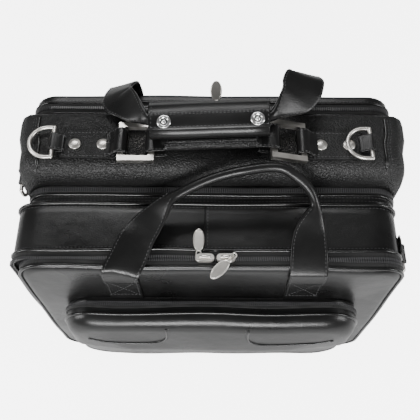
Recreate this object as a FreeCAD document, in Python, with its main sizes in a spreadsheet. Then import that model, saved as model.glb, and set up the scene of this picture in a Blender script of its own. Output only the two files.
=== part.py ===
"""Rolling laptop case: leather case in three zipped sections on a telescopic trolley.

Frame: +Z up, X across the case, the front pocket faces -Y, the trolley stands at +Y.
The origin lies on the floor, in the middle of the footprint.
"""
import FreeCAD, Part
import math
import os
import re

from FreeCAD import Vector

doc = FreeCAD.newDocument("RollingCase")
sheet = doc.addObject("Spreadsheet::Sheet", "Dims")

# Driving dimensions in millimetres and degrees. Each is set by itself.
CASE_BACK = "main_front + main_depth + laptop_front_depth + laptop_rear_depth"
DIMENSIONS = {
    # the case and its sections, from the floor up and from the front to the back
    "case_width": 440, "floor_gap": 22, "frame_inset": 5,
    "main_top": 370, "front_top": 335, "laptop_top": 350,
    "main_front": -6, "main_depth": 80, "strip_depth": 21, "frame_depth": 70,
    "panel_depth": 13, "pocket_frame_depth": 8, "pocket_depth": 32,
    "laptop_front_depth": 18, "laptop_rear_depth": 23,
    "main_corner": 20, "front_corner": 34, "laptop_corner": 38,
    "leather_wall": 4, "edge_round": 11, "board_gap": 0.5, "board_thick": 3,
    "expansion": 38, "sleeve_wall": 1.5, "sleeve_gap": 1,
    # front pocket
    "pocket_width": 358, "pocket_low": 32, "pocket_top": 251, "pocket_corner": 38,
    "pocket_wall": 3,
    # zips
    "zip_end": 50, "zip_band": 7, "zip_thick": 1.5, "zip_gap": 0.3, "slider_long": 18, "slider_wide": 11,
    "slider_high": 6, "pull_long": 31, "pull_wide": 11, "pull_thick": 1.6, "pull_link": 2.7,
    "expansion_shoe": 10, "rear_pull_long": 27, "rear_pull_wide": 14,
    # hardware on the top
    "top_line": 28.5, "patch_inner": 107, "patch_long": 65, "patch_wide": 37, "patch_thick": 3,
    "rivet_inner": 124, "rivet_outer": 156, "rivet_head": 6, "rivet_shank": 2, "rivet_crown": 1,
    "shank_gap": 0.05,
    "bar_size": 6.5, "ring_long": 51, "ring_wide": 41.25, "ring_outer_bar": 102.75,
    "ring_height": 6.3, "ring_tilt": 14, "loop_wide": 30, "loop_wall": 1.3, "loop_play": 0.4,
    "wire": 4.5, "dring_wide": 44, "dring_deep": 31, "dring_bar": 180, "dring_height": 6.5,
    "dring_tab_wide": 24, "tab_wall": 2.2, "pin_gap": 0.07,
    # padded handle of the middle section
    "pad_wide": 30, "pad_thick": 8, "loop_slot": 14,
    # rear handle
    "strap_wide": 36, "strap_thick": 3, "strap_centre": 103, "rear_crease": 335,
    "grip_line": 47, "grip_height": 399, "grip_half": 69, "wrap_deep": 40, "wrap_high": 22, "wrap_round": 6,
    "grip_radius": 8, "snap_radius": 8, "snap_high": 2, "snap_place": 52, "snap_ahead": 5,
    # front handle
    "front_crease": 312, "front_left": -100, "front_right": 106, "handle_tube": 5.8,
    # trolley and wheels
    "tube_place": 62, "tube_wide": 22, "tube_deep": 14, "tube_wall": 1, "stage_gap": 0.5,
    "tube_low": 40, "tube_top": 285, "stage_travel": 210,
    "tube_line": f"={CASE_BACK} + 10",
    "trolley_grip_high": 18, "trolley_grip_half": 78, "button_long": 30, "button_wide": 8,
    "wheel_place": 186, "wheel_radius": 26, "wheel_wide": 22, "hub_radius": 18,
    "axle_radius": 3, "axle_gap": 0.05,
    "axle_line": f"={CASE_BACK} + 9", "housing_wall": 4, "wheel_gap": 2,
    "housing_front": f"={CASE_BACK} - 22", "housing_back": f"={CASE_BACK} + 31",
    "housing_low": 10, "housing_high": 58,
    "foot_wide": 36, "foot_deep": 16, "screw_head": 3.5, "screw_high": 1.2,
}
for row, (alias, number) in enumerate(DIMENSIONS.items(), start=1):
    sheet.set(f"A{row}", alias)
    sheet.set(f"B{row}", str(number))
    sheet.setAlias(f"B{row}", alias)
doc.recompute()


class Sizes:
    """Reads the sheet's cells as numbers, for shapes that are made with Part's functions."""

    def __getattr__(self, alias):
        return float(sheet.get(alias))


size = Sizes()

# Places along Y that several pieces share, as formulas of the sheet's aliases.
STRIP_FRONT = "(main_front - strip_depth)"
FRAME_FRONT = "(main_front - strip_depth - frame_depth)"
PANEL_FRONT = "(main_front - strip_depth - frame_depth - panel_depth)"
POCKET_SPLIT = "(main_front - strip_depth - frame_depth - panel_depth - pocket_frame_depth)"
MAIN_BACK = "(main_front + main_depth)"
LAPTOP_SPLIT = "(main_front + main_depth + laptop_front_depth)"
LAPTOP_BACK = "(main_front + main_depth + laptop_front_depth + laptop_rear_depth)"
FRONT_WIDTH = "(case_width - 2 * frame_inset)"


def formula(text):
    """Turn a formula of aliases into an expression that reads the sheet."""
    return re.sub(r"([a-z][a-z_0-9]*)", r"Dims.\1", str(text))


def place(item, x="0", y="0", z="0"):
    for letter, text in zip("xyz", (x, y, z)):
        item.setExpression(f"Placement.Base.{letter}", formula(text))
    return item


def origin_plane(body, role):
    return next(plane for plane in body.Origin.OriginFeatures if plane.Role == role)


def rounded_sketch(body, role, wide, high, radius):
    """A rounded rectangle, centred on the body's origin, with its sizes bound to the sheet."""
    sketch = body.newObject("Sketcher::SketchObject", "Outline")
    sketch.AttachmentSupport = (origin_plane(body, role), [""])
    sketch.MapMode = "FlatFace"
    half_w, half_h, r = 50.0, 40.0, 5.0
    corners = [(half_w - r, -half_h + r, -90), (half_w - r, half_h - r, 0),
               (-half_w + r, half_h - r, 90), (-half_w + r, -half_h + r, 180)]
    points = [((-half_w + r, -half_h), (half_w - r, -half_h)), ((half_w, -half_h + r), (half_w, half_h - r)),
              ((half_w - r, half_h), (-half_w + r, half_h)), ((-half_w, half_h - r), (-half_w, -half_h + r))]
    for start, end in points:
        sketch.addGeometry(Part.LineSegment(Vector(*start, 0), Vector(*end, 0)), False)
    for x, y, begin in corners:
        circle = Part.Circle(Vector(x, y, 0), Vector(0, 0, 1), r)
        sketch.addGeometry(Part.ArcOfCircle(circle, math.radians(begin), math.radians(begin + 90)), False)
    from Sketcher import Constraint
    for side in range(4):
        sketch.addConstraint(Constraint("Tangent", side, 2, 4 + side, 1))
        sketch.addConstraint(Constraint("Tangent", 4 + side, 2, (side + 1) % 4, 1))
        sketch.addConstraint(Constraint("Vertical" if side % 2 else "Horizontal", side))
    for arc in (5, 6, 7):
        sketch.addConstraint(Constraint("Equal", 4, arc))
    sized = [("radius", Constraint("Radius", 4, r), radius),
             ("right", Constraint("DistanceX", -1, 1, 1, 1, half_w), f"({wide}) / 2"),
             ("left", Constraint("DistanceX", 3, 1, -1, 1, half_w), f"({wide}) / 2"),
             ("top", Constraint("DistanceY", -1, 1, 2, 1, half_h), f"({high}) / 2"),
             ("bottom", Constraint("DistanceY", 0, 1, -1, 1, half_h), f"({high}) / 2")]
    for name, constraint, text in sized:
        index = sketch.addConstraint(constraint)
        sketch.renameConstraint(index, name)
        sketch.setExpression(f"Constraints.{name}", formula(text))
    return sketch


def block(label, role, wide, high, radius, thick, at, edge=None):
    """A padded rounded rectangle, centred at a point; edge rounds its most outward face."""
    body = doc.addObject("PartDesign::Body", "Body")
    body.Label = label
    sketch = rounded_sketch(body, role, wide, high, radius)
    pad = body.newObject("PartDesign::Pad", "Pad")
    pad.Profile = sketch
    pad.Midplane = True
    pad.setExpression("Length", formula(thick))
    if edge:
        doc.recompute()
        normal, rounding = edge
        faces = pad.Shape.Faces
        outward = max(range(len(faces)), key=lambda i: faces[i].CenterOfMass.dot(normal))
        fillet = body.newObject("PartDesign::Fillet", "Round")
        fillet.Base = (pad, [f"Face{outward + 1}"])
        fillet.setExpression("Radius", formula(rounding))
        body.Tip = fillet
    return place(body, *at)


def cylinder(label, radius, length, at, axis):
    item = doc.addObject("Part::Cylinder", "Cylinder")
    item.Label = label
    item.setExpression("Radius", formula(radius))
    item.setExpression("Height", formula(length))
    turn = {"X": FreeCAD.Rotation(Vector(0, 1, 0), 90), "Y": FreeCAD.Rotation(Vector(1, 0, 0), -90),
            "Z": FreeCAD.Rotation()}
    item.Placement = FreeCAD.Placement(Vector(), turn[axis])
    return place(item, *at)


def box(label, long, wide, high, at):
    """A plain box between its lowest corner and its sizes."""
    item = doc.addObject("Part::Box", "Box")
    item.Label = label
    for name, text in (("Length", long), ("Width", wide), ("Height", high)):
        item.setExpression(name, formula(text))
    return place(item, *at)


def cut(label, base, *tools):
    tool = tools[0] if len(tools) == 1 else fuse(f"{label} cutter", *tools)
    item = doc.addObject("Part::Cut", "Cut")
    item.Base, item.Tool, item.Label = base, tool, label
    return item


def fuse(label, *pieces):
    item = doc.addObject("Part::MultiFuse", "Union")
    item.Shapes, item.Label = list(pieces), label
    return item


def group(label, *pieces):
    """Separate solids of like pieces that share one node."""
    item = doc.addObject("Part::Compound", "Group")
    item.Links, item.Label = list(pieces), label
    return item


def shaped(label, shape):
    item = doc.addObject("Part::Feature", "Shaped")
    item.Shape, item.Label = shape, label
    return item


nodes = []


def node(item):
    """Keep a finished piece: its label names its file."""
    nodes.append(item)
    return item


# --- Shells of the case ------------------------------------------------------------------

MIDDLE_FRONT = "(front_top + floor_gap) / 2"
HIGH_FRONT = "(front_top - floor_gap)"
MIDDLE_LAPTOP = "(laptop_top + floor_gap) / 2"
HIGH_LAPTOP = "(laptop_top - floor_gap)"


def shell_ring(label, wide, low, top, corner, wall, front, back):
    """A band of the case that is open to the front and to the back."""
    front, back, low = f"({front})", f"({back})", f"({low})"
    at = ("0", f"({front} + {back}) / 2", f"({top} + {low}) / 2")
    outer = block(f"{label} outside", "XZ_Plane", wide, f"{top} - {low}", corner, f"{back} - {front}", at)
    inner = block(f"{label} inside", "XZ_Plane", f"{wide} - 2 * {wall}", f"{top} - {low} - 2 * {wall}",
                  f"{corner} - {wall}", f"{back} - {front} + 10", at)
    return node(cut(label, outer, inner))


def shell_tray(label, wide, low, top, corner, wall, front, back, open_to, *cutters):
    """A band closed on one side: open_to is +1 when it opens to +Y, and -1 when to -Y."""
    front, back = f"({front})", f"({back})"
    middle = f"({top} + {low}) / 2"
    round_off = (Vector(0, -open_to, 0), "edge_round")
    outer = block(f"{label} outside", "XZ_Plane", wide, f"{top} - {low}", corner, f"{back} - {front}",
                  ("0", f"({front} + {back}) / 2", middle), round_off)
    reach = f"({back} - {front} - {wall} + 10)"
    centre = f"({front} + {wall} + {reach} / 2)" if open_to > 0 else f"({back} - {wall} - {reach} / 2)"
    inner = block(f"{label} inside", "XZ_Plane", f"{wide} - 2 * {wall}", f"{top} - {low} - 2 * {wall}",
                  f"{corner} - {wall}", reach, ("0", centre, middle))
    return node(cut(label, outer, inner, *cutters))


def rivet_holes():
    holes = []
    for side in ("-", ""):
        for place_x in ("rivet_inner", "rivet_outer"):
            holes.append(cylinder("rivet hole", "rivet_shank + shank_gap", "leather_wall + patch_thick + 20",
                                  (f"{side}{place_x}", "top_line", "main_top - leather_wall - 8"), "Z"))
    return holes


# The middle section: a deep box, open to the front, that carries everything else.
shell_tray("main_shell", "case_width", "floor_gap", "main_top", "main_corner", "leather_wall",
           "main_front", MAIN_BACK, -1, *rivet_holes())
# The strip between the middle and the front section, with the expansion zip.
shell_ring("expansion_strip", FRONT_WIDTH, "floor_gap", "front_top", "front_corner", "leather_wall",
           STRIP_FRONT, "main_front")
# The folded gusset that the expansion zip lets out, nested inside the front frame.
SLEEVE_INSET = "(leather_wall + sleeve_gap)"
shell_ring("expansion_gusset", f"{FRONT_WIDTH} - 2 * {SLEEVE_INSET}", f"floor_gap + {SLEEVE_INSET}",
           f"front_top - {SLEEVE_INSET}", f"front_corner - {SLEEVE_INSET}", "sleeve_wall",
           f"{STRIP_FRONT} - expansion - 6", STRIP_FRONT)
shell_ring("front_frame_shell", FRONT_WIDTH, "floor_gap", "front_top", "front_corner", "leather_wall",
           FRAME_FRONT, STRIP_FRONT)
shell_tray("front_panel_shell", FRONT_WIDTH, "floor_gap", "front_top", "front_corner", "leather_wall",
           PANEL_FRONT, FRAME_FRONT, 1)
shell_ring("pocket_frame", "pocket_width", "pocket_low", "pocket_top", "pocket_corner", "pocket_wall",
           POCKET_SPLIT, PANEL_FRONT)
shell_tray("pocket_shell", "pocket_width", "pocket_low", "pocket_top", "pocket_corner", "pocket_wall",
           f"{POCKET_SPLIT} - pocket_depth", POCKET_SPLIT, 1)
shell_ring("laptop_shell_front", FRONT_WIDTH, "floor_gap", "laptop_top", "laptop_corner", "leather_wall",
           MAIN_BACK, LAPTOP_SPLIT)
NOTCH_WIDE = "(wheel_wide + 2 * wheel_gap + 2 * housing_wall)"
notches = [box("wheel notch", NOTCH_WIDE, "laptop_rear_depth + 10", "housing_high - floor_gap + 5",
               (f"{side}wheel_place - {NOTCH_WIDE} / 2", LAPTOP_SPLIT, "floor_gap - 5"))
           for side in ("-", "")]
shell_tray("laptop_shell_rear", FRONT_WIDTH, "floor_gap", "laptop_top", "laptop_corner", "leather_wall",
           LAPTOP_SPLIT, LAPTOP_BACK, -1, *notches)


# --- Boards, pads and straps inside --------------------------------------------------------

def board(label, wide, low, top, thick, front, corner="10"):
    return node(block(label, "XZ_Plane", wide, f"{top} - {low}", corner, thick,
                      ("0", f"{front} + ({thick}) / 2", f"({top} + {low}) / 2")))


LOW_INSIDE = "(floor_gap + leather_wall + 6)"
board("file_divider", "case_width - 50", LOW_INSIDE, "main_top - 60", "board_thick",
      f"{MAIN_BACK} - leather_wall - board_thick - board_gap")
board("laptop_pad", f"{FRONT_WIDTH} - 50", LOW_INSIDE, "laptop_top - 25", "4", MAIN_BACK)
board("rear_board", "2 * wheel_place - 50", LOW_INSIDE, "laptop_top - 30", "2",
      f"{LAPTOP_BACK} - leather_wall - 2 - board_gap")
node(box("base_board", "case_width - 60", "main_depth - 20", "board_thick",
         ("30 - case_width / 2", "main_front + 8", "floor_gap + leather_wall + board_gap")))


# --- Zips: the two halves of each chain ---------------------------------------------------

def zip_half(label, wide, low, top, corner, front):
    """One half of a zip chain, wrapped round the outside of a shell."""
    at = ("0", f"{front} + zip_band / 2", f"({top} + {low}) / 2")
    outer = block(f"{label} outside", "XZ_Plane", f"{wide} + 2 * zip_thick", f"{top} - {low} + 2 * zip_thick",
                  f"{corner} + zip_thick", "zip_band", at)
    inner = block(f"{label} inside", "XZ_Plane", wide, f"{top} - {low}", corner, "zip_band + 10", at)
    below = box(f"{label} foot", f"{wide} + 40", "zip_band + 20", "zip_end + 40",
                (f"-({wide}) / 2 - 20", f"{front} - 10", f"{low} - 40"))
    return node(cut(label, outer, inner, below))


zip_half("main_zip_rear_half", FRONT_WIDTH, "floor_gap", "front_top", "front_corner", FRAME_FRONT)
zip_half("main_zip_front_half", FRONT_WIDTH, "floor_gap", "front_top", "front_corner",
         f"{FRAME_FRONT} - zip_band")
zip_half("laptop_zip_front_half", FRONT_WIDTH, "floor_gap", "laptop_top", "laptop_corner",
         f"{LAPTOP_SPLIT} - zip_band")
zip_half("laptop_zip_rear_half", FRONT_WIDTH, "floor_gap", "laptop_top", "laptop_corner", LAPTOP_SPLIT)


# --- Sliders and pulls ------------------------------------------------------------------------

def slider(label, x, y, surface):
    """A slider on top of a zip chain, with a bridge that holds its pull."""
    low = f"{surface} + zip_thick + zip_gap"
    return node(block(label, "XY_Plane", "slider_long", "slider_wide", "3", "slider_high",
                      (x, y, f"{low} + slider_high / 2")))


def pull(label, long, wide, x, y, z, tilt, turn=0):
    """A flat oval pull with a hole, laid from its hinge along +Y and then tilted about X."""
    reach = size.slider_wide / 2 + size.pull_link
    blade = Part.makeBox(wide * 0.55, long, size.pull_thick, Vector(-wide * 0.275, reach, 0))
    oval = Part.makeCylinder(wide / 2, size.pull_thick, Vector(0, reach + long - wide / 2, 0))
    hole = Part.makeCylinder(wide * 0.2, 10, Vector(0, reach + long - wide / 2, -5))
    shape = blade.fuse(oval).cut(hole).removeSplitter()
    item = shaped(label, shape)
    item.Placement = FreeCAD.Placement(Vector(x, y, z), FreeCAD.Rotation(turn, 0, tilt))
    return node(item)


split_main = size.main_front - size.strip_depth - size.frame_depth
split_laptop = size.main_front + size.main_depth + size.laptop_front_depth
rise = size.zip_thick + size.zip_gap + size.slider_high + 0.5
slider("main_slider_left", "-7", FRAME_FRONT, "front_top")
slider("main_slider_right", "16", FRAME_FRONT, "front_top")
pull("main_pull_left", size.pull_long, size.pull_wide, -14, split_main, size.front_top + rise - 3, 0)
pull("main_pull_right", size.pull_long, size.pull_wide, 24, split_main, size.front_top + rise + 1, -6, 135)
slider("laptop_slider_left", "3", LAPTOP_SPLIT, "laptop_top")
slider("laptop_slider_right", "28", LAPTOP_SPLIT, "laptop_top")
pull("laptop_pull_left", size.rear_pull_long, size.rear_pull_wide, 5, split_laptop, size.laptop_top + rise, 40)
pull("laptop_pull_right", size.rear_pull_long, size.rear_pull_wide, 26, split_laptop,
     size.laptop_top + rise, 38, 180)
# The pocket's slider stands at the right end of its chain, and its pull hangs below it.
SIDE = "(pocket_width / 2 + zip_gap)"
node(block("pocket_slider", "YZ_Plane", "slider_wide", "slider_long", "3", "slider_high",
           (f"{SIDE} + slider_high / 2", POCKET_SPLIT, "pocket_low + 70")))
# The expansion zip's slider stands at the right end of the strip, with a round leather pull.
EDGE = "(case_width / 2 - frame_inset + zip_gap)"
STRIP_MIDDLE = "(main_front - strip_depth / 2)"
shoe = block("shoe", "YZ_Plane", "expansion_shoe", "expansion_shoe + 4", "3", "4",
             (f"{EDGE} + 2", STRIP_MIDDLE, "front_top - front_corner - 10"))
disc = cylinder("disc", "expansion_shoe - 2", "3", (f"{EDGE} + 3", STRIP_MIDDLE,
                                                    "front_top - front_corner - 12"), "X")
node(fuse("expansion_slider", shoe, disc))


# --- Leather patches, rivets and rings on the top ---------------------------------------------

BAR_RADIUS = "(bar_size * 0.7072)"
RING_Z = "(main_top + ring_height)"
RIVETS = ("rivet_inner", "rivet_outer")
TAB_END = "(rivet_outer + rivet_head + 1.5)"
patches, rivets, tabs = [], [], []
for sign in ("-", ""):
    # The patch is one strip of leather: it lies flat, and its end is turned round the ring's bar.
    loop_at = (f"{sign}ring_outer_bar", "top_line - loop_wide / 2", RING_Z)
    bore_at = (f"{sign}ring_outer_bar", "top_line - loop_wide / 2 - 5", RING_Z)
    flat = box("flat", "patch_long", "patch_wide", "patch_thick",
               (f"{sign}(patch_inner + patch_long / 2) - patch_long / 2", "top_line - patch_wide / 2",
                "main_top"))
    loop = cylinder("loop", "ring_height", "loop_wide", loop_at, "Y")
    bore = cylinder("loop bore", f"{BAR_RADIUS} + loop_play", "loop_wide + 10", bore_at, "Y")
    holes = [cylinder("hole", "rivet_shank + shank_gap", "patch_thick + 4",
                      (f"{sign}{rivet}", "top_line", "main_top - 2"), "Z") for rivet in RIVETS]
    patches.append(cut("patch", fuse("strip", flat, loop), bore, *holes))
    for rivet in RIVETS:
        spot = f"{sign}{rivet}"
        head = cylinder("head", "rivet_head", "rivet_crown", (spot, "top_line", "main_top + patch_thick"), "Z")
        shank = cylinder("shank", "rivet_shank", "leather_wall + patch_thick",
                         (spot, "top_line", "main_top - leather_wall"), "Z")
        rivets.append(fuse("rivet", head, shank))
    # The tab round the D-ring's bar is stitched down on the patch.
    tab_z = "main_top + dring_height"
    barrel = cylinder("barrel", "wire / 2 + tab_wall", "dring_tab_wide",
                      (f"{sign}dring_bar", "top_line - dring_tab_wide / 2", tab_z), "Y")
    tail = box("tail", f"dring_bar - {TAB_END}", "dring_tab_wide", "2",
               (f"{sign}((dring_bar + {TAB_END}) / 2) - (dring_bar - {TAB_END}) / 2",
                "top_line - dring_tab_wide / 2", "main_top + patch_thick"))
    eye = cylinder("eye", "wire / 2 + pin_gap", "dring_tab_wide + 10",
                   (f"{sign}dring_bar", "top_line - dring_tab_wide / 2 - 5", tab_z), "Y")
    tabs.append(cut("tab", fuse("tab strip", barrel, tail), eye))
node(group("top_patches", *patches))
node(group("top_rivets", *rivets))
node(group("dring_tabs", *tabs))


def dring(label, at, rotation):
    """A D-ring of round wire: its bar lies on the local X axis and its bow reaches along +Y."""
    r = size.wire / 2
    half = size.dring_wide / 2 - r
    straight = size.dring_deep - 2 * r - half
    curve = Part.Arc(Vector(-half, straight, 0), Vector(0, straight + half, 0), Vector(half, straight, 0))
    bow = Part.Wire([Part.makeLine(Vector(-half, 0, 0), Vector(-half, straight, 0)), curve.toShape(),
                     Part.makeLine(Vector(half, straight, 0), Vector(half, 0, 0))])
    section = Part.Wire(Part.makeCircle(r, Vector(-half, 0, 0), Vector(0, 1, 0)))
    swept = bow.makePipeShell([section], True, False)
    bar = Part.makeCylinder(r, 2 * half, Vector(-half, 0, 0), Vector(1, 0, 0))
    balls = [Part.makeSphere(r, Vector(sign * half, 0, 0)) for sign in (-1, 1)]
    shape = swept.fuse([bar] + balls).removeSplitter()
    item = shaped(label, shape)
    item.Placement = FreeCAD.Placement(Vector(*at), rotation)
    return node(item)


top_z = size.main_top + size.dring_height
outward = FreeCAD.Rotation(Vector(0, 0, 1), 90)
dring("dring_left", (-size.dring_bar, size.top_line, top_z), outward)
dring("dring_right", (size.dring_bar, size.top_line, top_z), outward)


def rectangular_ring(label, sign, tilt):
    """A ring of square bar: its outer bar turns in the loop of the patch."""
    bar, length = size.bar_size, size.ring_long
    reach = size.ring_wide - bar
    outer = Part.makeBox(reach + bar, length, bar, Vector(-bar / 2, -length / 2, -bar / 2))
    hole = Part.makeBox(reach - bar, length - 2 * bar, bar + 2,
                        Vector(bar / 2, -length / 2 + bar, -bar / 2 - 1))
    item = shaped(label, outer.cut(hole))
    inward = FreeCAD.Rotation(Vector(0, 0, 1), 0 if sign < 0 else 180)
    lift = FreeCAD.Rotation(Vector(0, 1, 0), -tilt)
    spot = Vector(sign * size.ring_outer_bar, size.top_line, size.main_top + size.ring_height)
    item.Placement = FreeCAD.Placement(spot, inward.multiply(lift))
    return node(item)


rectangular_ring("ring_left", -1, 0)
rectangular_ring("ring_right", 1, size.ring_tilt)

# The padded handle between the two rings: it rises to the tilted ring on the right.
reach = size.ring_wide - size.bar_size
left_end = Vector(-size.ring_outer_bar + reach, size.top_line, size.main_top + size.ring_height)
tilted = math.radians(size.ring_tilt)
right_end = Vector(size.ring_outer_bar - reach * math.cos(tilted), size.top_line,
                   size.main_top + size.ring_height + reach * math.sin(tilted))
slope = math.degrees(math.atan2(right_end.z - left_end.z, right_end.x - left_end.x))
span = (right_end - left_end).Length
sloped = FreeCAD.Rotation(Vector(0, 1, 0), -slope)


def end_loop(x, outward_sign):
    """The loop of the handle round a ring's inner bar, with room for the bar to turn."""
    slot_high = size.bar_size * 1.414 + 0.3
    wall = 1.1
    long = size.loop_slot + 2 * wall
    low = x - long / 2 - outward_sign * 1.0
    outer = Part.makeBox(long, size.loop_wide - 2, slot_high + 2 * wall,
                         Vector(low, -size.loop_wide / 2 + 1, -slot_high / 2 - wall))
    slot = Part.makeBox(size.loop_slot, size.loop_wide + 10, slot_high,
                        Vector(low + wall, -size.loop_wide / 2 - 5, -slot_high / 2))
    return outer.cut(slot), low, low + long


loop_a, low_a, high_a = end_loop(0, -1)
loop_b, low_b, high_b = end_loop(span, 1)
grip = Part.makeBox(low_b - high_a, size.pad_wide, size.pad_thick,
                    Vector(high_a, -size.pad_wide / 2, -size.pad_thick / 2))
item = shaped("top_handle", grip.fuse([loop_a, loop_b]).removeSplitter())
item.Placement = FreeCAD.Placement(left_end, sloped)
node(item)


# --- Side D-rings for a shoulder strap ----------------------------------------------------------

for label, sign, y, z in (("left", -1, size.main_front + 20, size.main_top - 45),
                          ("right", 1, split_main + 27, size.front_top - 45)):
    # Both rings stand as far out; the right tab is thicker, because the front frame is narrower.
    tail_thick = 2 if sign < 0 else 2 + size.frame_inset
    half_case = size.case_width / 2
    x = sign * (half_case + size.wire / 2 + size.tab_wall)
    barrel = Part.makeCylinder(size.wire / 2 + size.tab_wall, size.dring_tab_wide,
                               Vector(x, y - size.dring_tab_wide / 2, z), Vector(0, 1, 0))
    tail = Part.makeBox(tail_thick, size.dring_tab_wide, 30,
                        Vector(-half_case - 2 if sign < 0 else half_case + 2 - tail_thick,
                               y - size.dring_tab_wide / 2, z))
    eye = Part.makeCylinder(size.wire / 2 + size.pin_gap, size.dring_tab_wide + 10,
                            Vector(x, y - size.dring_tab_wide / 2 - 5, z), Vector(0, 1, 0))
    node(shaped(f"side_tab_{label}", barrel.fuse(tail).cut(eye).removeSplitter()))
    hanging = FreeCAD.Rotation(Vector(0, 0, 1), 90).multiply(FreeCAD.Rotation(Vector(1, 0, 0), -90))
    dring(f"side_ring_{label}", (x, y, z), hanging)


# --- Handles ---------------------------------------------------------------------------------

def round_path(points, radius, bend):
    """A tube along straight runs that are joined by tangent arcs."""
    edges, last = [], points[0]
    for before, corner, after in zip(points, points[1:], points[2:]):
        into, out = (corner - before).normalize(), (after - corner).normalize()
        turn = into.getAngle(out)
        room = min(bend * math.tan(turn / 2), 0.45 * min((corner - before).Length, (after - corner).Length))
        start, end = corner - into * room, corner + out * room
        arc_radius = room / math.tan(turn / 2)
        centre = corner + (out - into).normalize() * (arc_radius / math.cos(turn / 2))
        middle = centre + (corner - centre).normalize() * arc_radius
        edges += [Part.makeLine(last, start), Part.Arc(start, middle, end).toShape()]
        last = end
    edges.append(Part.makeLine(last, points[-1]))
    path = Part.Wire(edges)
    section = Part.Wire(Part.makeCircle(radius, points[0], points[1] - points[0]))
    return path.makePipeShell([section], True, False)


def strap(profile, x_low, wide, thick):
    """A flat strap along a polyline in the YZ plane, as wide as given along X."""
    solid = None
    for (y0, z0), (y1, z1) in zip(profile, profile[1:]):
        along = Vector(0, y1 - y0, z1 - z0)
        across = Vector(1, 0, 0).cross(along).normalize() * (thick / 2)
        a, b = Vector(x_low, y0, z0), Vector(x_low, y1, z1)
        face = Part.Face(Part.makePolygon([a - across, b - across, b + across, a + across, a - across]))
        run = face.extrude(Vector(wide, 0, 0))
        joint = Part.makeCylinder(thick / 2, wide, b, Vector(1, 0, 0))
        solid = run if solid is None else solid.fuse(run)
        if (y1, z1) != profile[-1]:
            solid = solid.fuse(joint)
    return solid.removeSplitter()


# Rear handle: two straps from the back face, which roll into a grip inside a leather wrap.
back = size.main_front + size.main_depth + size.laptop_front_depth + size.laptop_rear_depth
thick = size.strap_thick
crease_gap = 0.3
leg_y = back + 1.5 * thick + crease_gap
back_patches, legs = [], []
for sign in (-1, 1):
    x_low = sign * size.strap_centre - size.strap_wide / 2
    back_patches.append(Part.makeBox(size.strap_wide, thick, 62, Vector(x_low, back, size.rear_crease - 64)))
    top = size.laptop_top + (26 if sign < 0 else 42)
    crown = size.laptop_top + (30 if sign < 0 else 46)
    leg = strap([(leg_y, size.rear_crease), (leg_y, top), (leg_y - 8, crown), (leg_y - 26, crown)],
                x_low, size.strap_wide, thick)
    grip_end = Vector(sign * size.grip_half, size.grip_line, size.grip_height + (0 if sign < 0 else 9))
    start = Vector(sign * size.strap_centre, leg_y - 24, crown)
    roll = Part.makeCylinder(size.grip_radius, (grip_end - start).Length, start, grip_end - start)
    legs.append((leg.fuse(roll).removeSplitter(), grip_end))
node(shaped("rear_strap_patches", Part.makeCompound(back_patches)))
(left_leg, wrap_from), (right_leg, wrap_to) = legs
wrap_span = (wrap_to - wrap_from).Length
wrap_slope = math.degrees(math.atan2(wrap_to.z - wrap_from.z, wrap_to.x - wrap_from.x))
wrap_turn = FreeCAD.Rotation(Vector(0, 1, 0), -wrap_slope)
section = Part.makeBox(wrap_span, size.wrap_deep, size.wrap_high,
                       Vector(0, -size.wrap_deep / 2, -size.wrap_high / 2))
long_edges = [edge for edge in section.Edges if abs(edge.tangentAt(0).x) > 0.9]
wrap = section.makeFillet(size.wrap_round, long_edges)
wrap_solid = wrap.copy()
wrap_solid.Placement = FreeCAD.Placement(wrap_from, wrap_turn)
node(shaped("rear_straps", Part.makeCompound([left_leg.cut(wrap_solid), right_leg.cut(wrap_solid)])))
item = shaped("handle_wrap", wrap)
item.Placement = FreeCAD.Placement(wrap_from, wrap_turn)
node(item)
snaps = [Part.makeCylinder(size.snap_radius, size.snap_high,
                           Vector(wrap_span / 2 + sign * size.snap_place, -size.snap_ahead, size.wrap_high / 2))
         for sign in (-1, 1)]
item = shaped("wrap_snaps", Part.makeCompound(snaps))
item.Placement = FreeCAD.Placement(wrap_from, wrap_turn)
node(item)

# Front handle: two straps from the front face, leaning back on the middle section's edge.
front = size.main_front - size.strip_depth - size.frame_depth - size.panel_depth
crease_y = front - 1.5 * thick - crease_gap
face_patches = [Part.makeBox(size.strap_wide, thick, 58,
                             Vector(x - size.strap_wide / 2, front - thick, size.front_crease - 60))
                for x in (size.front_left, size.front_right)]
node(shaped("front_strap_patches", Part.makeCompound(face_patches)))
over = size.front_top + size.zip_thick + thick + 5
profile = [(crease_y, size.front_crease), (crease_y, over - 6), (crease_y + 10, over), (crease_y + 36, over + 6)]
tube_points = [Vector(-60, crease_y + 56, over + 10), Vector(-34, -32.4, size.main_top - 2),
               Vector(-1, -20, size.main_top + 8), Vector(34, -13.7, size.main_top + 15),
               Vector(71, -9.5, size.main_top + 16), Vector(91.5, -17.7, size.main_top + 12),
               Vector(107, -30, size.main_top + 4), Vector(113.7, -44, over + 20)]
left_root = Vector(size.front_left + 12, crease_y + 32, over + 5)
right_root = Vector(size.front_right, crease_y + 32, over + 5)
straps = [strap(profile, x - size.strap_wide / 2, size.strap_wide, thick)
          for x in (size.front_left, size.front_right)]
tube = round_path([left_root] + tube_points + [right_root], size.handle_tube, 40)
node(shaped("front_handle", tube.fuse(straps).removeSplitter()))


# --- Trolley and wheels ------------------------------------------------------------------------

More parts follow.
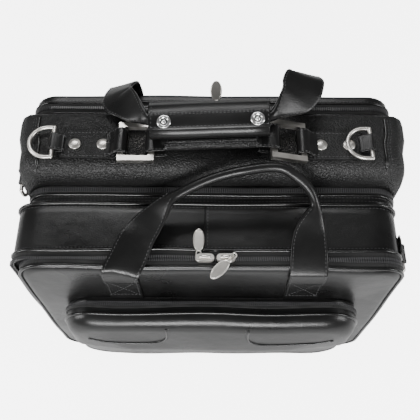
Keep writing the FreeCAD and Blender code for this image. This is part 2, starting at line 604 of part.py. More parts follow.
STAGES = ("trolley_outer_tubes", "trolley_stage_1", "trolley_stage_2", "trolley_stage_3")
for index, label in enumerate(STAGES):
    inset = index * (size.tube_wall + size.stage_gap)
    wide, deep = size.tube_wide - 2 * inset, size.tube_deep - 2 * inset
    low, high = size.tube_low + 4 * index, size.tube_top + 0.5 * index
    tubes = []
    for sign in (-1, 1):
        corner = Vector(sign * size.tube_place - wide / 2, size.tube_line - deep / 2, low)
        tube_shape = Part.makeBox(wide, deep, high - low, corner)
        if index < len(STAGES) - 1:
            wall = size.tube_wall
            bore = Part.makeBox(wide - 2 * wall, deep - 2 * wall, high - low + 20,
                                corner + Vector(wall, wall, -10))
            tube_shape = tube_shape.cut(bore)
        tubes.append(tube_shape)
    node(shaped(label, Part.makeCompound(tubes)))

grip_low = size.tube_top + 0.5 * (len(STAGES) - 1)
GRIP_DEEP = 20
handle = Part.makeBox(2 * size.trolley_grip_half, GRIP_DEEP, size.trolley_grip_high,
                      Vector(-size.trolley_grip_half, size.tube_line - GRIP_DEEP / 2, grip_low))
handle = handle.makeFillet(5, [edge for edge in handle.Edges if abs(edge.tangentAt(0).x) > 0.9])
recess = Part.makeBox(size.button_long + 0.8, size.button_wide + 0.8, 12,
                      Vector(-size.button_long / 2 - 0.4, size.tube_line - size.button_wide / 2 - 0.4,
                             grip_low + size.trolley_grip_high - 9))
node(shaped("trolley_grip", handle.cut(recess)))
node(box("trolley_button", "button_long", "button_wide", "7",
         ("-button_long / 2", "tube_line - button_wide / 2",
          f"{grip_low + size.trolley_grip_high} - 5")))


def tube_bracket(low, high, half):
    """A moulded block that clasps both outer tubes and is screwed to the back."""
    solid = Part.makeBox(2 * half, size.tube_line + size.tube_deep / 2 + 3 - back, high - low,
                         Vector(-half, back, low))
    for sign in (-1, 1):
        solid = solid.cut(Part.makeBox(size.tube_wide, size.tube_deep, high - low + 20,
                                       Vector(sign * size.tube_place - size.tube_wide / 2,
                                              size.tube_line - size.tube_deep / 2, low - 10)))
    return solid


node(shaped("trolley_brackets", Part.makeCompound([
    tube_bracket(size.tube_top - 45, size.tube_top - 25, size.trolley_grip_half),
    tube_bracket(size.tube_low, size.tube_low + 26, size.trolley_grip_half + 6)])))
heads = [Part.makeCylinder(size.screw_head, size.screw_high,
                           Vector(x, size.tube_line + size.tube_deep / 2 + 3, z), Vector(0, 1, 0))
         for x in (-30, 30) for z in (size.tube_top - 35, size.tube_low + 13)]
node(shaped("trolley_screws", Part.makeCompound(heads)))

housings, axles = [], []
for side, sign in (("left", -1), ("right", 1)):
    x = sign * size.wheel_place
    cavity_wide = size.wheel_wide + 2 * size.wheel_gap
    wide = cavity_wide + 2 * size.housing_wall
    housing = Part.makeBox(wide, size.housing_back - size.housing_front, size.housing_high - size.housing_low,
                           Vector(x - wide / 2, size.housing_front, size.housing_low))
    axis = Vector(1, 0, 0)
    centre = Vector(x, size.axle_line, size.wheel_radius)
    cavity = Part.makeCylinder(size.wheel_radius + size.wheel_gap, cavity_wide,
                               centre - axis * (cavity_wide / 2), axis)
    mouth = Part.makeBox(cavity_wide, 2 * (size.wheel_radius + size.wheel_gap), size.wheel_radius,
                         Vector(x - cavity_wide / 2, size.axle_line - size.wheel_radius - size.wheel_gap, 0))
    bore = Part.makeCylinder(size.axle_radius, wide + 10, centre - axis * (wide / 2 + 5), axis)
    housings.append(housing.cut([cavity, mouth, bore]))
    axles.append(Part.makeCylinder(size.axle_radius, wide, centre - axis * (wide / 2), axis))
    half = size.wheel_wide / 2
    hub = Part.makeCylinder(size.hub_radius, 2 * half, centre - axis * half, axis)
    hub = hub.cut(Part.makeCylinder(size.axle_radius + size.axle_gap, 60, centre - axis * 30, axis))
    tyre = Part.makeCylinder(size.wheel_radius, 2 * half, centre - axis * half, axis)
    tyre = tyre.makeFillet(3, [edge for edge in tyre.Edges if edge.Length > 50 and len(edge.Vertexes) == 1])
    tyre = tyre.cut(Part.makeCylinder(size.hub_radius, 60, centre - axis * 30, axis))
    node(shaped(f"wheel_hub_{side}", hub))
    node(shaped(f"wheel_tyre_{side}", tyre))
node(shaped("wheel_housings", Part.makeCompound(housings)))
node(shaped("wheel_axles", Part.makeCompound(axles)))

feet = [Part.makeBox(size.foot_wide, size.foot_deep, size.floor_gap,
                     Vector(x - size.foot_wide / 2, y, 0))
        for x in (-150, 150) for y in (size.main_front + 6, size.main_front + size.main_depth - 24)]
node(shaped("base_feet", Part.makeCompound(feet)))


# --- Check every piece, then write one file for each ------------------------------------------

doc.recompute()
bad = [item.Label for item in doc.Objects if {"Invalid", "Error"} & set(item.State)]
for item in nodes:
    if item.Shape.isNull() or not item.Shape.isValid() or not item.Shape.Solids:
        bad.append(item.Label)
if bad:
    raise SystemExit(f"these pieces failed: {sorted(set(bad))}")
os.makedirs("parts", exist_ok=True)
for item in nodes:
    item.Shape.exportStep(os.path.join("parts", f"{item.Label}.step"))
print(len(nodes), "pieces written")
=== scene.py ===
from math import copysign, cos, pi, radians, sin, sqrt, tau

import bmesh
import bpy
from mathutils import Matrix, Vector, noise


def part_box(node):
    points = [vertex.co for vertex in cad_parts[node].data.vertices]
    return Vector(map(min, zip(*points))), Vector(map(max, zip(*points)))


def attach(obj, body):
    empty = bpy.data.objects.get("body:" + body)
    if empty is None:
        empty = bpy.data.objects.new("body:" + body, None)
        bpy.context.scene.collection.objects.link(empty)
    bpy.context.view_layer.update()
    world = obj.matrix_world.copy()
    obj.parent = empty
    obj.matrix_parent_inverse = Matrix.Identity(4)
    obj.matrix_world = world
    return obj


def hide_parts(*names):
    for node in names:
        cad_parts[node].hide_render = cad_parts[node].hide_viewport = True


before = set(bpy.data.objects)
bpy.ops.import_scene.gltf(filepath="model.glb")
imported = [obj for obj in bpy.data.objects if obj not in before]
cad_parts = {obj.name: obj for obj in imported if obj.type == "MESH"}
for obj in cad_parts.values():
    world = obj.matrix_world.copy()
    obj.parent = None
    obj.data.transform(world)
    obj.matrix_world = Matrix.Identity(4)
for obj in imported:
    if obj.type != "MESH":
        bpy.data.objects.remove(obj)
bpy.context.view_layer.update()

MM = 0.001
studio = bpy.context.scene
UP = Vector((0, 0, 1))
SIDES = ((-1, "left"), (1, "right"))


# --- Studio ----------------------------------------------------------------------------------
# A pale sweep of paper under the case, large soft lamps above and beside it, and the camera
# high in front of the case, looking steeply down on its top.

def new_object(name, mesh):
    item = bpy.data.objects.new(name, mesh)
    studio.collection.objects.link(item)
    return item


def mesh_object(name, points, faces, smooth=True):
    mesh = bpy.data.meshes.new(name)
    mesh.from_pydata([tuple(point) for point in points], [], faces)
    mesh.validate()
    mesh.polygons.foreach_set("use_smooth", [smooth] * len(mesh.polygons))
    return new_object(name, mesh)


def feed(tree, socket, value):
    """Link an input to another node's output, or give it a plain value."""
    if isinstance(value, bpy.types.NodeSocket):
        tree.links.new(value, socket)
    else:
        socket.default_value = value


def feed_all(tree, node, **values):
    """Feed a node's inputs by their names."""
    for label, value in values.items():
        feed(tree, node.inputs[label.replace("_", " ")], value)
    return node


def math_node(tree, operation, *values):
    node = tree.nodes.new("ShaderNodeMath")
    node.operation = operation
    for socket, value in zip(node.inputs, values):
        feed(tree, socket, value)
    return node.outputs[0]


def blank_material(name, metallic=0.0, coat=0.0, sheen=0.0, specular=0.5):
    material = bpy.data.materials.new(name)
    material.use_nodes = True
    shader = material.node_tree.nodes["Principled BSDF"]
    feed_all(material.node_tree, shader, Metallic=metallic, Coat_Weight=coat, Coat_Roughness=0.25,
             Sheen_Weight=sheen, Specular_IOR_Level=specular)
    return material, material.node_tree, shader


FLOOR_REACH = 6  # metres from the middle to each edge
PAPER_GLOW = 5.0  # seen by the camera only, so that it throws no light on the case

floor = mesh_object("studio_floor", [(x * FLOOR_REACH, y * FLOOR_REACH, 0)
                                     for x, y in ((-1, -1), (1, -1), (1, 1), (-1, 1))], [(0, 1, 2, 3)])
paper, tree, shader = blank_material("studio_paper")
seen = tree.nodes.new("ShaderNodeLightPath").outputs["Is Camera Ray"]
feed_all(tree, shader, Base_Color=(0.93, 0.93, 0.93, 1), Roughness=0.9, Emission_Color=(1, 1, 1, 1),
         Emission_Strength=math_node(tree, "MULTIPLY", seen, PAPER_GLOW))
floor.data.materials.append(paper)

world = bpy.data.worlds.new("studio")
world.use_nodes = True
feed_all(world.node_tree, world.node_tree.nodes["Background"], Color=(1, 1, 1, 1), Strength=0.2)
studio.world = world

LAMP_TARGET = Vector((0, 0, 0.3))
LAMPS = (  # name, place, size, power
    ("lamp_front", (-0.2, -1.9, 1.25), (1.3, 0.3), 62),
    ("lamp_back", (-0.25, 1.35, 1.95), (1.5, 0.3), 17),
    ("lamp_left", (-1.7, -0.3, 1.1), (0.4, 1.0), 18),
    ("lamp_right", (1.7, -0.4, 1.2), (0.4, 1.0), 18),
)
for name, spot, (wide, deep), power in LAMPS:
    lamp = bpy.data.lights.new(name, "AREA")
    lamp.shape, lamp.size, lamp.size_y, lamp.energy = "RECTANGLE", wide, deep, power
    holder = bpy.data.objects.new(name, lamp)
    holder.location = spot
    holder.rotation_euler = (LAMP_TARGET - Vector(spot)).to_track_quat("-Z", "Y").to_euler()
    studio.collection.objects.link(holder)

view = bpy.data.cameras.new("camera")
view.lens, view.sensor_width = 54, 36
camera = bpy.data.objects.new("camera", view)
camera.location = (0, -0.367, 0.974)
camera.rotation_euler = (radians(27.4), 0, radians(0.3))
studio.collection.objects.link(camera)
studio.camera = camera


# --- Leather ---------------------------------------------------------------------------------
# Black cowhide in two finishes: pebbled hide on the middle section and the padded handle, and
# smooth glazed hide on all the rest. Creases and handling make the glaze a little uneven.

def node_of(tree, kind, *choices, **values):
    """A node with its choices made, as pairs of property and value, and its inputs fed by name."""
    node = tree.nodes.new(kind)
    for key, choice in choices:
        setattr(node, key, choice)
    return feed_all(tree, node, **values)


def node_group(name, kind, inputs, outputs):
    """A group of nodes with its sockets, given as label and kind, and its two end nodes."""
    tree = bpy.data.node_groups.new(name, kind)
    for side, sockets in (("INPUT", inputs), ("OUTPUT", outputs)):
        for label, what in sockets:
            tree.interface.new_socket(label, in_out=side, socket_type="NodeSocket" + what)
    return tree, tree.nodes.new("NodeGroupInput"), tree.nodes.new("NodeGroupOutput")


def noise_mask(tree, place, scale, detail, output="Fac"):
    return node_of(tree, "ShaderNodeTexNoise", Vector=place, Scale=scale, Detail=detail).outputs[output]


def hide_grain_group():
    """Cells of the hide's grain, with fine wrinkles, dents from handling and slow changes of tone."""
    tree, given, out = node_group("hide_grain", "ShaderNodeTree",
                                  (("Cell Scale", "Float"), ("Depth", "Float")),
                                  (("Normal", "Vector"), ("Tone", "Float")))
    place = tree.nodes.new("ShaderNodeTexCoord").outputs["Object"]
    shifted = tree.nodes.new("ShaderNodeVectorMath")  # a little warp keeps the cells from lining up
    shifted.operation = "MULTIPLY_ADD"
    warp = noise_mask(tree, place, 90.0, 2.0, "Color")
    for socket, value in zip(shifted.inputs, (warp, (0.004,) * 3, place)):
        feed(tree, socket, value)
    cells = node_of(tree, "ShaderNodeTexVoronoi", ("feature", "SMOOTH_F1"), Smoothness=0.6,
                    Vector=shifted.outputs[0], Scale=given.outputs["Cell Scale"])
    pores = noise_mask(tree, place, 1400.0, 2.0)
    height = math_node(tree, "ADD", math_node(tree, "MULTIPLY", cells.outputs["Distance"], -1.0),
                       math_node(tree, "MULTIPLY", pores, 0.25))
    dented = node_of(tree, "ShaderNodeBump", Distance=0.004, Strength=0.4,
                     Height=noise_mask(tree, place, 17.0, 3.0))
    bump = node_of(tree, "ShaderNodeBump", Distance=0.0009, Normal=dented.outputs["Normal"],
                   Height=height, Strength=given.outputs["Depth"])
    feed_all(tree, out, Normal=bump.outputs["Normal"], Tone=noise_mask(tree, place, 14.0, 4.0))
    return tree


HIDE_GRAIN = hide_grain_group()


def ramp(tree, source, low, high, start=0.3, end=0.7):
    """A number that goes from low to high over part of a mask."""
    node = tree.nodes.new("ShaderNodeMapRange")
    feed_all(tree, node, Value=source, From_Min=start, From_Max=end, To_Min=low, To_Max=high)
    return node.outputs["Result"]


def tinted(tree, mask, dark, light):
    mix = tree.nodes.new("ShaderNodeMix")
    mix.data_type = "RGBA"
    mix.inputs["A"].default_value, mix.inputs["B"].default_value = (*dark, 1), (*light, 1)
    tree.links.new(mask, mix.inputs["Factor"])
    return mix.outputs["Result"]


def leather(name, cell_scale, depth, greys, rough, coat):
    """Hide with its grain's scale and depth, its darkest and lightest grey, roughness and glaze."""
    material, tree, shader = blank_material(name, coat=coat, specular=0.35)
    grain = tree.nodes.new("ShaderNodeGroup")
    grain.node_tree = HIDE_GRAIN
    feed_all(tree, grain, Cell_Scale=cell_scale, Depth=depth)
    tone = grain.outputs["Tone"]
    dark, light = [(grey,) * 3 for grey in greys]
    feed_all(tree, shader, Base_Color=tinted(tree, ramp(tree, tone, 0, 1), dark, light),
             Roughness=ramp(tree, tone, *rough), Normal=grain.outputs["Normal"])
    return material


PEBBLED = leather("pebbled_hide", 560.0, 1.0, (0.005, 0.014), (0.36, 0.48), 0.0)
SMOOTH = leather("smooth_hide", 900.0, 0.14, (0.003, 0.008), (0.26, 0.38), 0.1)
PIPING = leather("piping_hide", 900.0, 0.08, (0.004, 0.009), (0.18, 0.26), 0.35)


CLOTH_ROUGH = 0.85


def woven(name, dark, light, scale):
    """Plain-woven cloth: two crossing waves make the threads."""
    material, tree, shader = blank_material(name, sheen=0.15, specular=0.3)
    place = tree.nodes.new("ShaderNodeTexCoord").outputs["Object"]
    threads = [node_of(tree, "ShaderNodeTexWave", ("bands_direction", direction), Vector=place,
                       Scale=scale, Distortion=0.4).outputs["Fac"] for direction in "XZ"]
    cloth = math_node(tree, "MULTIPLY", *threads)
    bump = node_of(tree, "ShaderNodeBump", Distance=0.0003, Strength=0.5, Height=cloth)
    feed_all(tree, shader, Normal=bump.outputs["Normal"], Base_Color=tinted(tree, cloth, dark, light),
             Roughness=ramp(tree, cloth, CLOTH_ROUGH, CLOTH_ROUGH - 0.15, 0, 1))
    return material


LINING = woven("lining_cloth", (0.02, 0.02, 0.022), (0.06, 0.06, 0.065), 260.0)
TAPE = woven("zip_tape_cloth", (0.006, 0.006, 0.006), (0.02, 0.02, 0.02), 420.0)


# --- Shells of the case ------------------------------------------------------------------------
# Each section is a band of leather over board, turned in at its edges and lined with cloth. A
# band is lofted through outlines: rounded rectangles across the case at stations along its depth.

AROUND = 184


def outline(half, low, top, corner):
    """Points round a rounded rectangle in X and Z, evenly spaced, from the middle of the foot."""
    corner = max(min(corner, half - 0.0005, (top - low) / 2 - 0.0005), 0.0005)
    flat_x, flat_z = half - corner, (top - low) / 2 - corner
    middle = (top + low) / 2
    runs = [flat_x, pi / 2 * corner, 2 * flat_z, pi / 2 * corner, 2 * flat_x,
            pi / 2 * corner, 2 * flat_z, pi / 2 * corner, flat_x]
    centres = [(flat_x, -flat_z, -90), (flat_x, flat_z, 0), (-flat_x, flat_z, 90),
               (-flat_x, -flat_z, 180)]
    total = sum(runs)
    points = []
    for index in range(AROUND):
        rest, run = total * index / AROUND, 0
        while rest > runs[run]:
            rest -= runs[run]
            run += 1
        if run % 2:
            x, z, start = centres[run // 2]
            angle = radians(start) + rest / corner
            points.append((x + corner * cos(angle), middle + z + corner * sin(angle)))
        else:
            x, z = [(rest, -flat_z - corner), (half, rest - flat_z), (flat_x - rest, flat_z + corner),
                    (-half, flat_z - rest), (rest - flat_x, -flat_z - corner)][run // 2]
            points.append((x, middle + z))
    return points


SHELLS = {  # corner radius in mm, softness, and where the noise is read
    "main_shell": (18, 0.0014, 3.0), "front_frame_shell": (28, 0.0022, 7.0),
    "expansion_strip": (28, 0.001, 11.0), "laptop_shell_front": (28, 0.001, 13.0),
    "front_panel_shell": (28, 0.0024, 17.0), "pocket_shell": (38, 0.003, 19.0),
    "laptop_shell_rear": (28, 0.0014, 23.0),
}
POCKET_BACK, PANEL_BACK = -0.118, -0.097  # where those shells meet what is behind them


def ease(value, start, end):
    share = min(max((value - start) / (end - start), 0), 1)
    return share * share * (3 - 2 * share)


def settled(node, x, y, z):
    """Where a point of a shell comes to rest: the hide sags, swells and tucks in under its load."""
    corner, soft, seed = SHELLS[node]
    if node == "main_shell":
        swell = 0.002 + 0.005 * ease(y, 0.03, 0.05)
        x += copysign(swell * ease(abs(x), 0.15, 0.22) * ease(z, 0.02, 0.2), x)
    if node == "front_frame_shell":
        x -= 0.011 * ease(-x, 0.12, 0.21) * ease(z, 0.05, 0.25)
    if node.startswith("laptop"):
        z += 0.003 * ease(z, 0.2, 0.34)
        x += copysign(0.004, x) * ease(abs(x), 0.12, 0.21)
    if node == "pocket_shell":
        droop = 1 - max(1 - max(0.175 - z, 0) / 0.143, 0) ** 1.5
        y = POCKET_BACK + (y - POCKET_BACK) * (1 - 0.86 * droop)
    if node == "front_panel_shell":
        y = PANEL_BACK + (y - PANEL_BACK) * (1 - 0.3 * ease(-z, -0.16, -0.03))
    sag = soft * noise.noise(Vector((x * 9 + seed, y * 9, z * 9)))
    return Vector((x, y + sag, z + sag * 0.8))


def around(node, y, out=0.0):
    """The closed line round a shell at depth y, standing some way out from its hide; all in mm."""
    low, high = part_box(node)
    corner = SHELLS[node][0]
    ring = outline(high.x + out * MM, low.z - out * MM, high.z + out * MM, (corner + out) * MM)
    return [settled(node, x, y * MM, z) for x, z in ring]


def orient_out(item):
    work = bmesh.new()
    work.from_mesh(item.data)
    bmesh.ops.recalc_face_normals(work, faces=work.faces)
    work.to_mesh(item.data)
    work.free()
    return item


def loft(name, points, size, closed=False, first=True, last=True, smooth=True):
    """Join rings of points, each of one size, into a skin: a closed run, or one shut at its ends."""
    rings = len(points) // size
    faces = []
    for ring in range(rings if closed else rings - 1):
        a, b = ring * size, (ring + 1) % rings * size
        faces += [(a + k, b + k, b + (k + 1) % size, a + (k + 1) % size) for k in range(size)]
    if first and not closed:
        faces.append(tuple(reversed(range(size))))
    if last and not closed:
        faces.append(tuple(range(len(points) - size, len(points))))
    return orient_out(mesh_object(name, points, faces, smooth))


def band(name, node, stations, shut=False):
    """Loft a shell: a station is (y, side inset, top inset, foot inset, corner) in millimetres."""
    low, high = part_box(node)
    points = []
    for y, side, above, below, corner in stations:
        ring = outline(high.x - side * MM, low.z + below * MM, high.z - above * MM, corner * MM)
        points += [settled(node, x, y * MM, z) for x, z in ring]
    item = loft(name, points, AROUND, first=False, last=shut)
    if shut:
        item.data.polygons[len(item.data.polygons) - 1].use_smooth = False
    return item


def line_inside(item, thick, leather_outside):
    """Give a shell its wall, with the lining on its inner side."""
    item.data.materials.append(leather_outside)
    item.data.materials.append(LINING)
    wall = item.modifiers.new("wall", "SOLIDIFY")
    wall.thickness, wall.offset, wall.use_even_offset = thick, -1, False
    wall.material_offset = 1


def apply_modifiers(item):
    graph = bpy.context.evaluated_depsgraph_get()
    mesh = bpy.data.meshes.new_from_object(item.evaluated_get(graph))
    item.modifiers.clear()
    item.data = mesh


def finish_piece(item, body, slot, *replaced):
    """Settle a piece on its body and hide the modelled parts that it replaces; its slot is not used."""
    apply_modifiers(item)
    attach(item, body)
    if replaced:
        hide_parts(*replaced)
    return item


def y_range(node):
    low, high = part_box(node)
    return low.y / MM, high.y / MM


def inset_face(y_edge, bulge, inset_from, reach, corner, count):
    """Stations that shrink towards the middle of a face, which bulges by some millimetres."""
    stations = []
    for step in range(1, count + 1):
        share = step / count
        inset = inset_from + (reach - inset_from) * share
        y = y_edge - bulge * sin(share * pi / 2)
        stations.append((y, inset, inset, inset, max(corner - inset, 2)))
    return stations


front_y, back_y = y_range("main_shell")
main_stations = [(front_y + 1, 7, 37, 2, 32), (front_y, 4.5, 30, 1.5, 24), (front_y, 3.5, 24, 1, 20),
                 (front_y + 0.8, 2.4, 17, 0.6, 18), (front_y + 3.2, 1.5, 10.5, 0.4, 18),
                 (front_y + 7.5, 0.8, 5, 0.2, 18), (front_y + 13, 0.3, 1.8, 0, 18),
                 (front_y + 20, 0, 0.3, 0, 18), (front_y + 34, 0, 0, 0, 18),
                 (front_y + 52, 0, 0.4, 0, 18), (back_y - 8, 0, 0.6, 0, 18),
                 (back_y - 3, 0.4, 1.2, 0.4, 18), (back_y - 0.6, 1.6, 2.6, 1.6, 17),
                 (back_y, 4, 5, 4, 15)]
main_stations += inset_face(back_y, 0, 4, 160, 16, 6)
main_shell = band("main_section_shell", "main_shell", main_stations, shut=True)
line_inside(main_shell, 0.0026, PEBBLED)
finish_piece(main_shell, "main", "pebbled_leather", "main_shell")


def ring_band(name, node, body):
    """A plain band, open to both sides, with its leather turned in at both edges."""
    front, back = y_range(node)
    corner = SHELLS[node][0]
    stations = [(front + 1.5, 3.2, 3.2, 3.2, corner - 3), (front, 1.2, 1.2, 1.2, corner - 1),
                (front + 1.2, 0.2, 0.2, 0.2, corner)]
    for share in (0.2, 0.35, 0.5, 0.65, 0.8):
        stations.append((front + (back - front) * share, 0, 0, 0, corner))
    stations += [(back - 1.2, 0.2, 0.2, 0.2, corner), (back, 1.2, 1.2, 1.2, corner - 1),
                 (back - 1.5, 3.2, 3.2, 3.2, corner - 3)]
    shell = band(name, node, stations)
    line_inside(shell, 0.0024, SMOOTH)
    return finish_piece(shell, body, "smooth_leather", node)


ring_band("front_section_frame", "front_frame_shell", "front_frame")
ring_band("expansion_strip_leather", "expansion_strip", "main")
ring_band("laptop_section_front", "laptop_shell_front", "main")


def tray(name, node, body, away, rounding, bulge):
    """A band that is closed on one side, behind (-1) or ahead (1), by a face with a soft edge."""
    front, back = y_range(node)
    corner = SHELLS[node][0]
    start, face = (back, front) if away == 1 else (front, back)
    stations = [(start - away * 1.5, 3, 3, 3, corner - 3), (start, 1, 1, 1, corner - 1),
                (start - away * 1.2, 0.2, 0.2, 0.2, corner)]
    arc_start = face + away * rounding
    for share in (0.3, 0.6):
        if abs(arc_start - start) > 3:
            stations.append((start + (arc_start - start) * share, 0, 0, 0, corner))
    for step in range(7):
        angle = radians(90 * step / 6)
        inset = rounding * (1 - cos(angle))
        y = arc_start - away * rounding * sin(angle)
        stations.append((y, inset, inset, inset, corner - inset * 0.5))
    for y, *rest in inset_face(0, bulge, rounding, 100, corner + rounding * 0.5, 14):
        stations.append((face + away * y, *rest))
    shell = band(name, node, stations, shut=True)
    line_inside(shell, 0.0024, SMOOTH)
    return finish_piece(shell, body, "smooth_leather", node)


tray("front_panel_leather", "front_panel_shell", "front_panel", 1, 9, 0.5)
tray("front_pocket_leather", "pocket_shell", "pocket_panel", 1, 19, 6.0)
tray("laptop_section_rear", "laptop_shell_rear", "rear_panel", -1, 6, 0.5)


# --- Piping ------------------------------------------------------------------------------------
# A glossy roll of hide is sewn into each seam round the case. Every roll follows the same settled
# line as the shell it edges, so that the two keep touching where the hide sags.

def frames_along(path, ups, closed=False):
    """At each point of a path: the point, its side and its up direction."""
    count = len(path)
    result = []
    for index, point in enumerate(path):
        before = path[index - 1] if index or closed else point
        after = path[(index + 1) % count] if index < count - 1 or closed else point
        along = (after - before).normalized()
        up = ups[index] if isinstance(ups, list) else ups
        side = along.cross(up).normalized()
        result.append((point, side, side.cross(along).normalized()))
    return result


def sweep(name, path, ups, sections, closed=False):
    """Carry a closed section, or one section for each point, along a path."""
    points = []
    for index, (point, side, up) in enumerate(frames_along(path, ups, closed)):
        section = sections[index] if isinstance(sections[0][0], (tuple, list)) else sections
        points += [point + side * u + up * v for u, v in section]
    return loft(name, points, len(points) // len(path), closed)


def circle(radius, count, flat=1.0):
    return [(radius * cos(tau * k / count), radius * flat * sin(tau * k / count))
            for k in range(count)]


def rounded_strip(wide, thick):
    """The section of a flat strip with eased edges."""
    ease_by = min(wide, thick) * 0.35
    u, v = wide / 2, thick / 2
    return [(u, -v + ease_by), (u, v - ease_by), (u - ease_by, v), (-u + ease_by, v), (-u, v - ease_by),
            (-u, -v + ease_by), (-u + ease_by, -v), (u - ease_by, -v)]


def outward(path):
    """Directions that point away from the middle of a closed line round the case."""
    runs = [path[(k + 1) % len(path)] - path[k - 1] for k in range(len(path))]
    return [run.cross(Vector((0, 1, 0))).normalized() * -1 for run in runs]


def dressed(item, material, body, slot, *replaced):
    item.data.materials.clear()
    item.data.materials.append(material)
    return finish_piece(item, body, slot, *replaced)


def roll(name, line, ups, radius, body, closed=False):
    """A round roll of piping hide along a line; its radius is in mm."""
    section = circle(radius * MM, 10 if closed else 8)
    dressed(sweep(name, line, ups, section, closed), PIPING, body, "smooth_leather")


PIPES = (  # name, shell, depth in mm, radius in mm, body
    ("piping_laptop_front", "laptop_shell_front", 83.4, 2.0, "main"),
    ("piping_laptop_seam", "laptop_shell_front", 75.0, 1.8, "main"),
    ("piping_laptop_rear", "laptop_shell_rear", 101.0, 2.0, "rear_panel"),
    ("piping_frame_back", "front_frame_shell", -29.0, 2.2, "front_frame"),
    ("piping_frame_front", "front_frame_shell", -86.6, 2.2, "front_frame"),
    ("piping_panel", "front_panel_shell", -106.2, 2.0, "front_panel"),
    ("piping_strip", "expansion_strip", -16.6, 1.6, "main"),
)
for name, shell, depth, radius, body in PIPES:
    line = around(shell, depth, 0.5)
    roll(name, line, outward(line), radius, body, closed=True)


# --- Zips --------------------------------------------------------------------------------------
# Each zip is two woven tapes and two rows of coil teeth that mesh at the seam. Each half rides on
# its own side of the opening, so the two part where the case opens.


def metal(name, tone, rough, worn=0.06, metallic=1.0):
    """Plated metal, a little brighter and duller where fingers and wear have reached it."""
    material, tree, shader = blank_material(name, metallic=metallic)
    cloud = noise_mask(tree, tree.nodes.new("ShaderNodeTexCoord").outputs["Object"], 60.0, 3.0)
    shade = tuple(channel * 0.8 for channel in tone)
    feed_all(tree, shader, Base_Color=tinted(tree, ramp(tree, cloud, 0, 1), shade, tone),
             Roughness=ramp(tree, cloud, rough, rough + worn))
    return material


NICKEL = metal("nickel_plate", (0.9, 0.87, 0.82), 0.3)
CHROME = metal("snap_chrome", (0.95, 0.95, 0.95), 0.2, 0.03)
COIL = metal("coil_nylon", (0.06, 0.06, 0.062), 0.3, metallic=0.0)
THREAD = metal("waxed_thread", (0.075, 0.075, 0.077), 0.45, metallic=0.0)


def repeat_group(name, ball):
    """Set small pieces in a row along a line: balls drawn out into stitches, or blocks for teeth."""
    tree, given, out = node_group(name, "GeometryNodeTree", (("Line", "Geometry"), ("Spacing", "Float"),
                                  ("Size", "Vector"), ("Finish", "Material")), (("Row", "Geometry"),))
    curve = node_of(tree, "GeometryNodeMeshToCurve", Mesh=given.outputs["Line"])
    spaced = tree.nodes.new("GeometryNodeResampleCurve")
    spaced.mode = "LENGTH"
    feed_all(tree, spaced, Curve=curve.outputs["Curve"], Length=given.outputs["Spacing"])
    if ball:
        piece = node_of(tree, "GeometryNodeMeshUVSphere", Segments=6, Rings=5, Radius=0.5)
    else:
        piece = tree.nodes.new("GeometryNodeMeshCube")
    away = node_of(tree, "GeometryNodeInputNamedAttribute", ("data_type", "FLOAT_VECTOR"), Name="away")
    along = node_of(tree, "FunctionNodeAlignRotationToVector", ("axis", "X"),
                    Vector=tree.nodes.new("GeometryNodeInputTangent").outputs["Tangent"])
    turned = node_of(tree, "FunctionNodeAlignRotationToVector", ("axis", "Z"), ("pivot_axis", "X"),
                     Rotation=along.outputs["Rotation"], Vector=away.outputs["Attribute"])
    place = node_of(tree, "GeometryNodeInstanceOnPoints", Points=spaced.outputs["Curve"],
                    Instance=piece.outputs["Mesh"], Rotation=turned.outputs["Rotation"],
                    Scale=given.outputs["Size"])
    real = node_of(tree, "GeometryNodeRealizeInstances", Geometry=place.outputs["Instances"])
    paint = node_of(tree, "GeometryNodeSetMaterial", Geometry=real.outputs["Geometry"],
                    Material=given.outputs["Finish"])
    feed_all(tree, out, Row=paint.outputs["Geometry"])
    return tree


STITCH_ROW, TOOTH_ROW = repeat_group("stitch_row", True), repeat_group("tooth_row", False)


def row(name, lines, body, slot, group=STITCH_ROW, spacing=0.0042, size=(0.0029, 0.0007, 0.0005),
        finish=THREAD):
    """Repeats along some lines: each is (points, directions away from the surface, closed or not)."""
    points, edges, aways = [], [], []
    for path, ups, closed in lines:
        start, count = len(points), len(path)
        points += path
        aways += ups if isinstance(ups, list) else [ups] * count
        edges += [(start + k, start + k + 1) for k in range(count - 1)]
        if closed:
            edges.append((start + count - 1, start))
    mesh = bpy.data.meshes.new(name)
    mesh.from_pydata([tuple(point) for point in points], edges, [])
    away = mesh.attributes.new("away", "FLOAT_VECTOR", "POINT")
    away.data.foreach_set("vector", [value for up in aways for value in up])
    item = new_object(name, mesh)
    maker = item.modifiers.new("row", "NODES")
    maker.node_group = group
    values = {"Spacing": spacing, "Size": size, "Finish": finish}
    for socket in group.interface.items_tree:
        if socket.in_out == "INPUT" and socket.name in values:
            maker[socket.identifier] = values[socket.name]
    finish_piece(item, body, slot)
    item.data.polygons.foreach_set("use_smooth", [group is STITCH_ROW] * len(item.data.polygons))
    return item


def zip_half(name, shell, tape_depth, tape_wide, tooth_depth, body, *replaced):
    """One tape with its teeth, on one side of an opening; depths in mm."""
    line = around(shell, tape_depth, 0.7)
    tape = sweep(name + "_tape", line, outward(line), rounded_strip(tape_wide * MM, 0.0009), closed=True)
    dressed(tape, TAPE, body, "zip_coil", *replaced)
    line = around(shell, tooth_depth, 1.7)
    row(name + "_teeth", [(line, outward(line), True)], body, "zip_coil", TOOTH_ROW, 0.0025,
        (0.0013, 0.0026, 0.0018), COIL)


